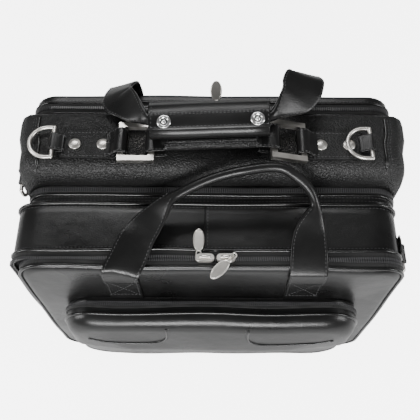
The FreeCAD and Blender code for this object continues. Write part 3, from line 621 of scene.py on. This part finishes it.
zip_half("main_zip_rear", "front_frame_shell", -92.4, 8.6, -95.9, "front_frame", "main_zip_rear_half")
zip_half("main_zip_front", "front_panel_shell", -101.2, 8.0, -98.1, "front_panel", "main_zip_front_half")
zip_half("laptop_zip_front", "laptop_shell_front", 88.2, 6.6, 90.8, "main", "laptop_zip_front_half")
zip_half("laptop_zip_rear", "laptop_shell_rear", 95.8, 6.6, 93.2, "rear_panel", "laptop_zip_rear_half")
zip_half("expansion_zip_rear", "expansion_strip", -8.2, 4.4, -9.8, "main")
zip_half("expansion_zip_front", "expansion_strip", -13.6, 4.4, -12.0, "main")
zip_half("pocket_zip_front", "pocket_shell", -121.0, 5.6, -119.2, "pocket_panel")


# --- Straps and patches ------------------------------------------------------------------------
# Ribbons are lofted through pairs of edge points, flat where they are straps and round where they
# are rolled into a tube. Plates are flat pieces with eased edges, and lathes are turned metal.

seams = {}  # body: stitch lines on its leather


def sew(body, path, ups, closed=False):
    seams.setdefault(body, []).append((path, ups, closed))


def loft_line(stations, steps):
    """A smooth run through stations of plain numbers."""
    runs = [stations[0]] + list(stations) + [stations[-1]]
    line = []
    for k in range(1, len(runs) - 2):
        for step in range(steps):
            t = step / steps
            line.append([0.5 * (2 * b + (c - a) * t + (2 * a - 5 * b + 4 * c - d) * t * t
                                + (3 * b - a - 3 * c + d) * t ** 3)
                         for a, b, c, d in zip(*runs[k - 1:k + 3])])
    return line + [list(stations[-1])]


def signed_power(value, power):
    return copysign(abs(value) ** power, value)


def ribbon(name, body, stations, steps=8, count=20, edge=2.6, replaced=()):
    """Stations are left edge x y z, right edge x y z and thickness, in mm, and roundness, 0 to 1."""
    line = loft_line(stations, steps)
    lefts = [Vector(station[0:3]) * MM for station in line]
    rights = [Vector(station[3:6]) * MM for station in line]
    centres = [(a + b) / 2 for a, b in zip(lefts, rights)]
    points, rows = [], {(s, f): ([], []) for s in (-1, 1) for f in (-1, 1)}
    for k, centre in enumerate(centres):
        along = (centres[min(k + 1, len(line) - 1)] - centres[max(k - 1, 0)]).normalized()
        side = (rights[k] - lefts[k])
        side = (side - along * side.dot(along)).normalized()
        up = side.cross(along).normalized()
        half, thick = (rights[k] - lefts[k]).length / 2, line[k][6] * MM / 2
        power = 0.22 + 0.78 * line[k][7]
        for m in range(count):
            angle = tau * m / count
            points.append(centre + side * half * signed_power(cos(angle), power)
                          + up * thick * signed_power(sin(angle), power))
        if half > 0.008:
            for (s, f), (path, ups) in rows.items():
                path.append(centre + side * s * (half - edge * MM) + up * f * (thick + 0.0003))
                ups.append(up * f)
    item = loft(name, points, count)
    for path, ups in rows.values():
        if len(path) > 2:
            gap = max(range(1, len(path)), key=lambda n: (path[n] - path[n - 1]).length)
            if (path[gap] - path[gap - 1]).length > 0.03:
                sew(body, path[:gap], ups[:gap])
                sew(body, path[gap:], ups[gap:])
            else:
                sew(body, path, ups)
    return dressed(item, SMOOTH, body, "smooth_leather", *replaced)


CORNER_STEPS = 5


def rounded(wide, tall, corner):
    """Points round a rectangle with rounded corners."""
    points = []
    for k, (x, y) in enumerate(((1, 1), (-1, 1), (-1, -1), (1, -1))):
        for step in range(CORNER_STEPS + 1):
            angle = radians(90 * k + 90 * step / CORNER_STEPS)
            points.append((x * (wide / 2 - corner) + corner * cos(angle),
                           y * (tall / 2 - corner) + corner * sin(angle)))
    return points


def plate(name, shape, centre, thick, edge=0.5, across=(1, 0, 0), upward=(0, 1, 0)):
    """A flat piece: its shape in mm lies in the plane of across and upward, and faces their normal."""
    centre, across, upward = Vector(centre) * MM, Vector(across), Vector(upward)
    normal = across.cross(upward)
    count = len(shape)
    layers = [(edge, 0), (0, edge * 0.6), (0, thick - edge * 0.8), (edge * 0.3, thick - edge * 0.25),
              (edge, thick)]
    points = []
    for inset, height in layers:
        for k in range(count):
            before, here, after = Vector(shape[k - 1]), Vector(shape[k]), Vector(shape[(k + 1) % count])
            run = (after - before).normalized()
            u, v = here + Vector((-run.y, run.x)) * inset
            points.append(centre + (across * u + upward * v + normal * height) * MM)
    return loft(name, points, count, smooth=False)


def lathe(name, profile, centre, axis, count=28):
    """Turn a profile of (radius, height) in mm about an axis."""
    centre, axis = Vector(centre) * MM, Vector(axis).normalized()
    u = axis.orthogonal().normalized()
    v = axis.cross(u)
    points = []
    for radius, height in profile:
        for k in range(count):
            angle = tau * k / count
            spoke = u * cos(angle) + v * sin(angle)
            points.append(centre + spoke * radius * MM + axis * height * MM)
    return loft(name, points, count)


def merged(name, items):
    """Join some pieces, which keep their materials, into one."""
    with bpy.context.temp_override(active_object=items[0], selected_editable_objects=items,
                                   selected_objects=items):
        bpy.ops.object.join()
    items[0].name = name
    return items[0]


PATCH_X, PATCH_Y = 139.5, 28.5  # middle of each top patch
PATCH_FOOT, PATCH_TOP = 369.9, 373.0


def loop_strap(name, bar_x, bar_z, radius, tail, toward, wide, thick, base):
    """A strip folded round a metal bar that lies along Y, with both its tails sewn flat."""
    path = [(bar_x + toward * tail, base), (bar_x + toward * tail * 0.55, base + 0.2),
            (bar_x, bar_z - radius)]
    for angle in range(-60, 90, 30):
        path.append((bar_x - toward * radius * cos(radians(angle)),
                     bar_z + radius * sin(radians(angle))))
    path += [(bar_x, bar_z + radius), (bar_x + toward * tail * 0.3, bar_z + radius * 0.72),
             (bar_x + toward * tail * 0.62, base + 4.2), (bar_x + toward * tail * 0.85, base + 2.9),
             (bar_x + toward * tail, base + 2.4)]
    stations = [(x, PATCH_Y - wide / 2, z, x, PATCH_Y + wide / 2, z, thick, 0.0) for x, z in path]
    return ribbon(name, "main", stations, 4, 12, 2.0)


# Top patches: each holds one end of the handle's ring and, under a small tab, a D-ring.
RIVET = [(0.01, -3), (3, -3), (3, -0.2), (7.1, -0.2), (7.1, 0.5), (6.5, 1.2), (4.9, 1.3), (4.4, 1.7),
         (2.6, 2.1), (0.01, 2.2)]
patch_shape = rounded(66, 37.5, 5)
for sign, name in SIDES:
    shape = [(x, y * (1 - 0.07 * ease(sign * x, -10, 33))) for x, y in patch_shape]
    patch = plate(f"top_patch_{name}", shape, (sign * PATCH_X, PATCH_Y, PATCH_FOOT), 2.9)
    dressed(patch, PEBBLED, "main", "smooth_leather")
    border = [Vector((sign * PATCH_X + x * 0.93, PATCH_Y + y * 0.87, PATCH_TOP)) * MM for x, y in shape]
    sew("main", border, UP, True)
    for end in (-24, -20.5, 22):
        sew("main", [Vector((sign * (PATCH_X + end), y, PATCH_TOP)) * MM for y in (13, 44)], UP)
    loop_strap(f"ring_loop_{name}", sign * 102.75, 376.3, 6.2, 17, sign, 33, 2.0, 371.4)
    loop_strap(f"dring_tab_{name}", sign * 180, 376.5, 3.4, 12, -sign, 22, 1.6, 373.2)
    for x in (124, 156):
        dome = lathe(f"top_rivet_{name}_{x}", RIVET, (sign * x, PATCH_Y, 372.8), UP)
        dressed(dome, NICKEL, "main", "nickel")
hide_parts("top_patches", "dring_tabs", "top_rivets")


# --- Handles -----------------------------------------------------------------------------------
# Three handles: a padded one between two steel rings, and two pairs of long straps, of which the
# rear pair is held together by a snapped wrap and the front pair lies loose over the case.

REAR_LEFT = [(-121, 119.8, 333, -85, 119.8, 333, 3, 0), (-121.5, 119.8, 350, -85.5, 119.8, 354, 3, 0),
             (-124, 116, 360, -89, 115, 376, 3, 0), (-128, 100, 368, -95, 99, 386, 3, 0),
             (-127.5, 82, 373, -91, 90, 391, 3, 0), (-113, 66, 378, -86, 82, 397, 3.4, 0.05),
             (-97, 52, 384, -82, 71, 401, 4.5, 0.25), (-82, 45, 389, -76, 58, 402, 8, 0.7),
             (-73, 41, 392, -70, 51, 401, 11, 1), (-60, 39.5, 393, -60, 49.5, 403, 11, 1)]
REAR_RIGHT = [(85, 119.8, 333, 121, 119.8, 333, 3, 0), (86, 119.8, 368, 122, 119.8, 362, 3, 0),
              (87, 116, 395, 125, 117, 381, 3, 0), (88, 103, 409, 129, 104, 393, 3, 0),
              (80, 88, 413, 127, 90, 395, 3, 0), (74.5, 74, 413, 116, 73, 394, 3.4, 0.05),
              (71, 63, 411, 97, 61, 396, 4.5, 0.25), (68, 56, 409, 82, 52, 397, 8, 0.7),
              (64, 49, 408, 66, 43, 398, 11, 1), (54, 48, 408, 54, 43, 398, 11, 1)]
ribbon("rear_strap_left", "rear_handle", REAR_LEFT)
ribbon("rear_strap_right", "rear_handle", REAR_RIGHT, replaced=("rear_straps",))

WRAP = [(66, -2), (66.6, 3), (63, 8.5), (57, 10.6), (50, 11.2), (42, 10.2), (35, 8), (29, 5.4),
        (25.6, 2.6), (23.6, -1.5), (23.8, -5.5), (26.5, -9.2), (31, -11), (45, -11.3), (57, -10),
        (64, -6.5)]
FLAP = [(64.5, 8.2), (57, 11.9), (50, 12.6), (42, 11.8), (35, 9.8), (28.3, 7.2),
        (28, 6.2), (28.6, 5.2), (35, 7.6), (42, 9.6), (50, 10.4), (57, 9.7), (64, 6.4)]


WRAP_Y, WRAP_MIDDLE = 44.5, 46


def wrap_height(x):
    """The rear grip rises a little from left to right."""
    return 402 + x * 0.0652


def wrap_piece(name, section, ends, replaced=()):
    """Sweep a section, given as depth and height in mm, along the rear grip; its ends close in."""
    path = [Vector((x, WRAP_Y, wrap_height(x))) * MM for x in ends]
    middle = sum(z for _, z in section) / len(section)
    sections = []
    for k in range(len(path)):
        close = 0.965 if k in (0, len(path) - 1) else 1
        sections.append([((1 - (y - WRAP_MIDDLE) * close) * MM, (middle + (z - middle) * close) * MM)
                         for y, z in section])
    item = sweep(name, path, UP, sections)
    return dressed(item, SMOOTH, "rear_handle", "smooth_leather", *replaced)


wrap_piece("handle_wrap_roll", WRAP, (-68.6, -67.8, -40, 0, 40, 62.2, 63), ("handle_wrap",))
wrap_piece("handle_wrap_flap", FLAP, (-69.4, -68.8, -40, 0, 40, 63.2, 63.8))


def on_flap(x, y, height):
    """A point over the flap, for its stitches and snaps."""
    rise = 12.6 - 5.2 * ease(48 - y, 0, 26)
    return Vector((x, y - 2.5, wrap_height(x) + rise + height)) * MM


for y in (30.6, 44.5, 46.2):
    sew("rear_handle", [on_flap(x, y, 0.35) for x in range(-66, 62, 6)], Vector((0, -0.2, 1)))
for x in (-66.8, 61):
    sew("rear_handle", [on_flap(x, y, 0.35) for y in range(31, 60, 4)], Vector((0, -0.2, 1)))
SNAP = [(0.01, 0), (7.9, 0), (8.0, 0.8), (7.2, 1.7), (5.6, 2.0), (4.3, 1.5), (4.0, 0.9), (2.6, 0.7),
        (2.2, 1.4), (0.01, 1.7)]
# Each snap's hollow holds a ring of dark metal. This is painted shade, standing in for the shade that
# falls in the chrome cap's recess.
SNAP_SHADE_RING = [(4.3, 1.0), (4.1, 1.16), (2.7, 1.0), (2.5, 0.8)]
SNAP_TILT = Vector((-0.065, -0.26, 1))
SNAP_SHADE_METAL = metal("snap_hollow_painted_shade", (0.12, 0.12, 0.12), 0.3)
for sign, name in SIDES:
    spot = on_flap(-1.5 + sign * 51, 36.5, -0.3) / MM
    for label, profile, finish in (("", SNAP, CHROME), ("hollow_shade_", SNAP_SHADE_RING, SNAP_SHADE_METAL)):
        dressed(lathe(f"wrap_snap_{label}{name}", profile, spot, SNAP_TILT, 36), finish, "rear_handle",
                "snap_chrome")
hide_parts("wrap_snaps")

FRONT_LEFT = [(-121, -114.9, 311, -81, -114.9, 311, 3, 0), (-120.5, -114.9, 329, -80, -114.9, 329, 3, 0),
              (-118.5, -113, 337, -78, -113, 337, 3, 0), (-110, -96, 344, -69, -98, 344, 3, 0),
              (-101, -76, 347.5, -61.5, -82, 352, 3.2, 0), (-88, -58, 349, -54, -70, 356, 3.6, 0.1),
              (-72, -44.5, 353, -47.5, -58, 361, 5, 0.3), (-52, -33.5, 361, -41.5, -45, 368.5, 8, 0.75),
              (-35, -27, 367.5, -32, -38, 371, 11, 1), (-2, -14.5, 378, 0, -25.5, 378, 11, 1),
              (33, -8, 385, 34.5, -19, 385, 11, 1), (71, -4, 386, 71, -15, 386, 11, 1),
              (95, -12.5, 382.5, 88, -22.5, 381.5, 11, 1), (111, -26.5, 375, 102.5, -33.5, 373.5, 11, 1),
              (118.5, -42, 366, 108, -45, 365.5, 11, 1), (122.5, -53, 358, 100, -58, 361, 7, 0.6),
              (125, -66, 351.5, 92, -70, 355, 4, 0.2), (126, -82, 347.5, 87.5, -83, 349, 3.2, 0.05),
              (126.5, -98, 343.5, 86, -98, 343.5, 3, 0), (127, -113, 335, 85.5, -113, 335, 3, 0),
              (127, -114.9, 329, 85.5, -114.9, 329, 3, 0), (127, -114.9, 311, 85.5, -114.9, 311, 3, 0)]
ribbon("front_handle_strap", "front_handle", FRONT_LEFT, 7, replaced=("front_handle",))

# Patches on the front and back faces hold the straps' ends, with a crossed box of stitches.
for node, body, facing, face_y, spots in (
        ("front_strap_patches", "front_panel", -1, -110.2, ((-101, 39.5), (106.3, 41))),
        ("rear_strap_patches", "rear_panel", 1, 115.0, ((-103, 37), (103, 37)))):
    low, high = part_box(node)
    tall, middle = (high.z - low.z) / MM, (high.z + low.z) / 2 / MM
    for index, (x, wide) in enumerate(spots):
        patch = plate(f"{node}_{index + 1}", rounded(wide, tall, 2), (x, face_y, middle), 3.0,
                      across=(-facing, 0, 0), upward=UP)
        dressed(patch, SMOOTH, body, "smooth_leather", *([node] if index == 0 else []))
        top, bottom, half = middle + tall / 2 - 3, middle + tall / 2 - 3 - wide, wide / 2 - 3
        y = face_y + facing * 3.25
        corners = [Vector((x + a * half, y, z)) * MM
                   for a, z in ((-1, bottom), (-1, top), (1, top), (1, bottom))]
        away = Vector((0, facing, 0))
        sew(body, corners, away, True)
        sew(body, [corners[0], corners[2]], away)
        sew(body, [corners[1], corners[3]], away)

# The padded handle: a stuffed grip of pebbled hide that swells between its two steel rings.
GRIP_FROM, GRIP_TO = Vector((-0.068, 0.0285, 0.3768)), Vector((0.069, 0.0285, 0.3852))
SWELL_FRAMES = 20


def along_grip(x, y, z):
    """A point from mm along, across and above the middle of the padded handle."""
    middle, run = (GRIP_FROM + GRIP_TO) / 2, (GRIP_TO - GRIP_FROM).normalized()
    return middle + (run * x + Vector((0, 1, 0)) * y + Vector((0, -1, 0)).cross(run) * z) * MM


def padded_piece(item, body, material, voxel=0.004, pressure=4.0, limit=0.0022):
    """Swell a closed form under inner pressure, no further than a set distance, and dress it."""
    item.data.materials.clear()
    item.data.materials.append(material)
    bpy.context.view_layer.objects.active = item
    mesher = item.modifiers.new("even_mesh", "REMESH")
    mesher.mode, mesher.voxel_size = "VOXEL", voxel
    bpy.ops.object.modifier_apply(modifier="even_mesh")
    before = [vertex.co.copy() for vertex in item.data.vertices]
    cloth = item.modifiers.new("swell", "CLOTH")
    cloth.settings.use_pressure = True
    cloth.settings.uniform_pressure_force = pressure
    cloth.settings.effector_weights.gravity = 0
    cloth.settings.quality = 6
    cloth.point_cache.frame_start, cloth.point_cache.frame_end = 1, SWELL_FRAMES
    for frame_number in range(1, SWELL_FRAMES + 1):
        studio.frame_set(frame_number)
    apply_modifiers(item)
    for vertex, start in zip(item.data.vertices, before):
        move = vertex.co - start
        if move.length > limit:
            vertex.co = start + move.normalized() * limit
    studio.frame_set(1)
    item.data.materials.clear()
    item.data.materials.append(material)
    round_off = item.modifiers.new("round_off", "SUBSURF")
    round_off.levels = round_off.render_levels = 1
    finish_piece(item, body, "pebbled_leather")
    item.data.polygons.foreach_set("use_smooth", [True] * len(item.data.polygons))
    return item


ends, sections = [], []
for x, wide, thick in ((-66, 23, 4), (-64, 26, 6), (-56, 27.5, 8.5), (-40, 28, 9.5), (0, 28, 10),
                       (40, 28, 9.5), (56, 27.5, 8.5), (64, 26, 6), (66, 23, 4)):
    ends.append(along_grip(x, 0, 3.0))
    sections.append([(wide / 2 * MM * signed_power(cos(tau * k / 24), 0.6),
                      thick / 2 * MM * signed_power(sin(tau * k / 24), 0.75)) for k in range(24)])
grip = sweep("padded_handle_grip", ends, UP, sections)
padded_piece(grip, "top_handle", PEBBLED)
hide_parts("top_handle")
bead = [along_grip(x, -5.5, 8.7 - 0.4 * (x / 50) ** 2) for x in range(-50, 51, 5)]
bead_piece = sweep("padded_handle_bead", bead, UP, circle(2.7 * MM, 12, 0.7))
dressed(bead_piece, PEBBLED, "top_handle", "pebbled_leather")
for side in (-3.7, 3.7):
    sew("top_handle", [p + Vector((0, side, -0.6)) * MM for p in bead], UP)
for sign, name, bar_x, bar_z in ((-1, "left", -68.0, 376.4), (1, "right", 69.0, 385.3)):
    path = [(bar_x - sign * 16, bar_z - 4.2)]
    for turn in range(-90, 91, 30):
        angle = radians(turn)
        path.append((bar_x + sign * 6.2 * cos(angle), bar_z + 6.2 * sin(angle)))
    path += [(bar_x - sign * 7, bar_z + 6.8), (bar_x - sign * 15, bar_z + 7.2)]
    ribbon(f"padded_handle_loop_{name}", "top_handle",
           [(x, 12.5, z, x, 44.5, z, 2.0, 0.0) for x, z in path], 4, 12, 2.2)


# --- Seams on the case -------------------------------------------------------------------------
# Stitches follow every roll of piping; the middle section has a sewn band at each end, the front
# section a seam in the middle of its top, and the pocket two curved slits for small things.

def upper_line(node, depth, out):
    """The part of the line round a shell that lies above the foot's corners."""
    low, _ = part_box(node)
    line = around(node, depth, out)
    ups = outward(line)
    kept = [k for k in range(AROUND) if line[k].z > low.z + 0.03]
    return [line[k] for k in kept], [ups[k] for k in kept]


for node, depth, body in (("laptop_shell_front", 79.5, "main"),
                          ("laptop_shell_rear", 104.6, "rear_panel"),
                          ("front_frame_shell", -33.0, "front_frame"),
                          ("front_frame_shell", -83.0, "front_frame"),
                          ("expansion_strip", -19.6, "main"), ("expansion_strip", -24.0, "main")):
    sew(body, *upper_line(node, depth, 0.25))

for sign, name in SIDES:
    for reach in (199, 201.5):
        line = [Vector((sign * reach, y, 370.3)) * MM for y in range(12, 68, 4)]
        sew("main", [settled("main_shell", *point) for point in line], UP)
    fold = [settled("main_shell", sign * 0.196, y * MM, (370.0 - max(13 - y, 0) ** 2 * 0.05) * MM)
            for y in range(2, 71, 3)]
    roll(f"end_band_edge_{name}", fold, UP, 1.8, "main")

top_seam = [settled("front_frame_shell", -0.0075, y * MM, 0.3352) for y in range(-84, -30, 3)]
roll("front_section_seam", top_seam, UP, 0.9, "front_frame")
sew("front_frame", [p + Vector((3.4, 0, -0.1)) * MM for p in top_seam], UP)


AHEAD = Vector((0, -1, 0))


def on_pocket(x, z, out):
    """A point on the pocket's face, in metres, from mm across and up."""
    inside = min(179 - abs(x), 251 - z, z - 32)
    lift = 6 * sin(pi / 2 * min(max((inside - 19) / 81, 0), 1))
    round_off = 19 - sqrt(max(19 ** 2 - max(19 - inside, 0) ** 2, 0))
    return settled("pocket_shell", x * MM, (-150 - lift + round_off - out) * MM, z * MM)


for sign, name in SIDES:
    reach = 54 if sign < 0 else 45
    slit = [(sign * x, z) for x, z in ((152, 206), (128, 200), (100, 198), (reach + 24, 199),
                                       (reach + 10, 203), (reach + 2, 212), (reach, 224), (reach, 240))]
    line = loft_line(slit, 4)
    path = [on_pocket(x, z, 0.3) for x, z in line]
    roll(f"pocket_slit_{name}", path, AHEAD, 1.25, "pocket_panel")
    beside = [(x - sign * 3.2 * ease(z, 199, 220), z - 3.2 * (1 - ease(z, 201, 220))) for x, z in line]
    sew("pocket_panel", [on_pocket(x, z, 0.3) for x, z in beside], AHEAD)
pocket_edge = around("pocket_shell", -131.5, 0.3)
roll("pocket_piping", pocket_edge, outward(pocket_edge), 2.0, "pocket_panel", closed=True)
frame_line = [Vector((x, -0.1145, z)) for x, z in outline(0.1782, 0.0335, 0.2502, 0.037)]
frame_band = sweep("pocket_frame_band", frame_line, outward(frame_line), rounded_strip(0.0078, 0.0016),
                   closed=True)
dressed(frame_band, SMOOTH, "front_panel", "smooth_leather", "pocket_frame")
frame_teeth = [Vector((x, -0.1176, z)) for x, z in outline(0.1796, 0.032, 0.2516, 0.038)]
row("pocket_zip_teeth_rear", [(frame_teeth, outward(frame_teeth), True)], "front_panel", "zip_coil",
    TOOTH_ROW, 0.0023, (0.0015, 0.002, 0.0016), COIL)


# --- Metal fittings ----------------------------------------------------------------------------
# Nickel rings and sliders keep their modelled form. Each zip pull is a cast oval with a raised rim,
# joined by a bent wire link to the bail on its slider.

def paint(material, *nodes):
    for node in nodes:
        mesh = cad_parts[node].data
        mesh.materials.clear()
        mesh.materials.append(material)


paint(NICKEL, "ring_left", "ring_right", "dring_left", "dring_right", "side_ring_left",
      "side_ring_right", "pocket_slider")


def oval(long, wide):
    return [(wide / 2 * cos(angle), long / 2 * sin(angle))
            for angle in (tau * k / 28 for k in range(28))]


def zip_pull(node, hinge, long, wide, tilt, turn):
    """An oval pull in its CAD place: it lies along +Y from its hinge, tilted and then turned."""
    place = (Matrix.Translation(Vector(hinge) * MM) @ Matrix.Rotation(radians(turn), 4, "Z")
             @ Matrix.Rotation(radians(tilt), 4, "X"))
    middle = 5.2 + long / 2
    pieces = [plate("blade", oval(long - 3, wide), (0, middle, 0), 1.6)]
    rim = [Vector((x, middle + y, 1.7)) * MM for x, y in oval(long - 5, wide - 2)]
    pieces.append(sweep("rim", rim, UP, circle(0.55 * MM, 8), closed=True))
    link = [Vector((x, y + 2, 0.8)) * MM for x, y in rounded(5.2, 11.5, 2.4)]
    pieces.append(sweep("link", link, UP, circle(0.85 * MM, 8), closed=True))
    item = merged(node + "_oval", pieces)
    item.data.transform(place)
    item.data.update()
    return dressed(item, NICKEL, node, "nickel", node)


zip_pull("main_pull_left", (-14, -97, 340.3), 31, 13, 0, 0)
zip_pull("main_pull_right", (24, -97, 344.3), 31, 13, -6, 135)
zip_pull("laptop_pull_left", (5, 92, 358.3), 27, 14, 40, 0)
zip_pull("laptop_pull_right", (26, 92, 358.3), 27, 14, 38, 180)


def slider_body(node):
    """A slider: a shield with waisted sides, and a bail over its back for the pull's link."""
    low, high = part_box(node)
    centre, long, wide = (low + high) / 2 / MM, (high.x - low.x) / MM * 1.15, (high.y - low.y) / MM * 1.3
    shape = [(long / 2 * cos(a), (wide / 2 * (0.82 + 0.18 * cos(2 * a))) * sin(a))
             for a in (tau * k / 32 for k in range(32))]
    foot = low.z / MM
    pieces = [plate("shield", shape, (centre.x, centre.y, foot + 3.1), 2.2, 0.7),
              plate("sole", shape, (centre.x, centre.y, foot - 0.2), 1.6),
              plate("neck", rounded(4, 4, 1.4), (centre.x + 4, centre.y, foot), 4.5)]
    bail = [Vector((centre.x + x, centre.y, foot + z)) * MM
            for x, z in ((-6, 4.6), (-5.2, 6.6), (-2.5, 7.6), (2.5, 7.6), (5.2, 6.6), (6, 4.6))]
    pieces.append(sweep("bail", bail, Vector((0, 1, 0)), rounded_strip(1.3 * MM, 3.4 * MM)))
    return dressed(merged(node + "_body", pieces), NICKEL, node, "nickel", node)


for node in ("main_slider_left", "main_slider_right", "laptop_slider_left", "laptop_slider_right"):
    slider_body(node)

# Side tabs hang a D-ring at each side; the expansion zip ends in a round leather pull.
for node, body, sign, bar in (("side_tab_left", "main", -1, (-224.45, 14, 325)),
                              ("side_tab_right", "front_frame", 1, (224.45, -70, 290))):
    x, y, z = bar
    path = [(sign * 220.4 if node == "side_tab_left" else sign * 215.4, z + 29),
            (sign * 221.4 if node == "side_tab_left" else sign * 217.0, z + 14),
            (x - sign * 0.6, z + 5.5), (x + sign * 3.2, z + 2), (x + sign * 3.4, z - 1.4), (x, z - 3.6),
            (x - sign * 3.3, z - 1.2), (x - sign * 3.5, z + 4), (x - sign * 4.2, z + 12)]
    stations = [(u, y + 11.5, v, u, y - 11.5, v, 1.7, 0.0) for u, v in path]
    ribbon(node + "_strip", body, stations, 5, 12, 2.2, replaced=(node,))
disc = lathe("expansion_pull_disc", [(0.01, 0), (7.6, 0), (8, 0.8), (7.8, 1.8), (6.6, 2.3), (0.01, 2.0)],
             (216.4, -16.5, 290), (1, 0, 0))
dressed(disc, SMOOTH, "expansion_slider", "smooth_leather", "expansion_slider")

for body, lines in seams.items():
    row(f"stitches_{body}", lines, body, "smooth_leather")


# --- Trolley, wheels and boards ----------------------------------------------------------------
# Behind the case are a telescoping aluminium handle, two rubber wheels in plastic housings and
# four short feet. Boards and pads stiffen the sections from inside.

PLASTIC = metal("moulded_black", (0.018, 0.018, 0.019), 0.42, 0.08, 0.0)
ALUMINIUM = metal("drawn_aluminium", (0.55, 0.56, 0.57), 0.24)
RUBBER = metal("wheel_rubber", (0.012, 0.012, 0.012), 0.72, 0.1, 0.0)
STEEL = metal("screw_steel", (0.5, 0.5, 0.5), 0.22)
BOARD = woven("board_cloth", (0.015, 0.015, 0.016), (0.035, 0.035, 0.037), 300.0)
paint(ALUMINIUM, "trolley_outer_tubes", "trolley_stage_1", "trolley_stage_2", "trolley_stage_3")
paint(PLASTIC, "trolley_grip", "trolley_button", "trolley_brackets", "wheel_housings", "wheel_hub_left",
      "wheel_hub_right", "base_feet")
paint(RUBBER, "wheel_tyre_left", "wheel_tyre_right")
paint(STEEL, "trolley_screws", "wheel_axles")
paint(BOARD, "base_board", "rear_board", "laptop_pad", "file_divider", "expansion_gusset")
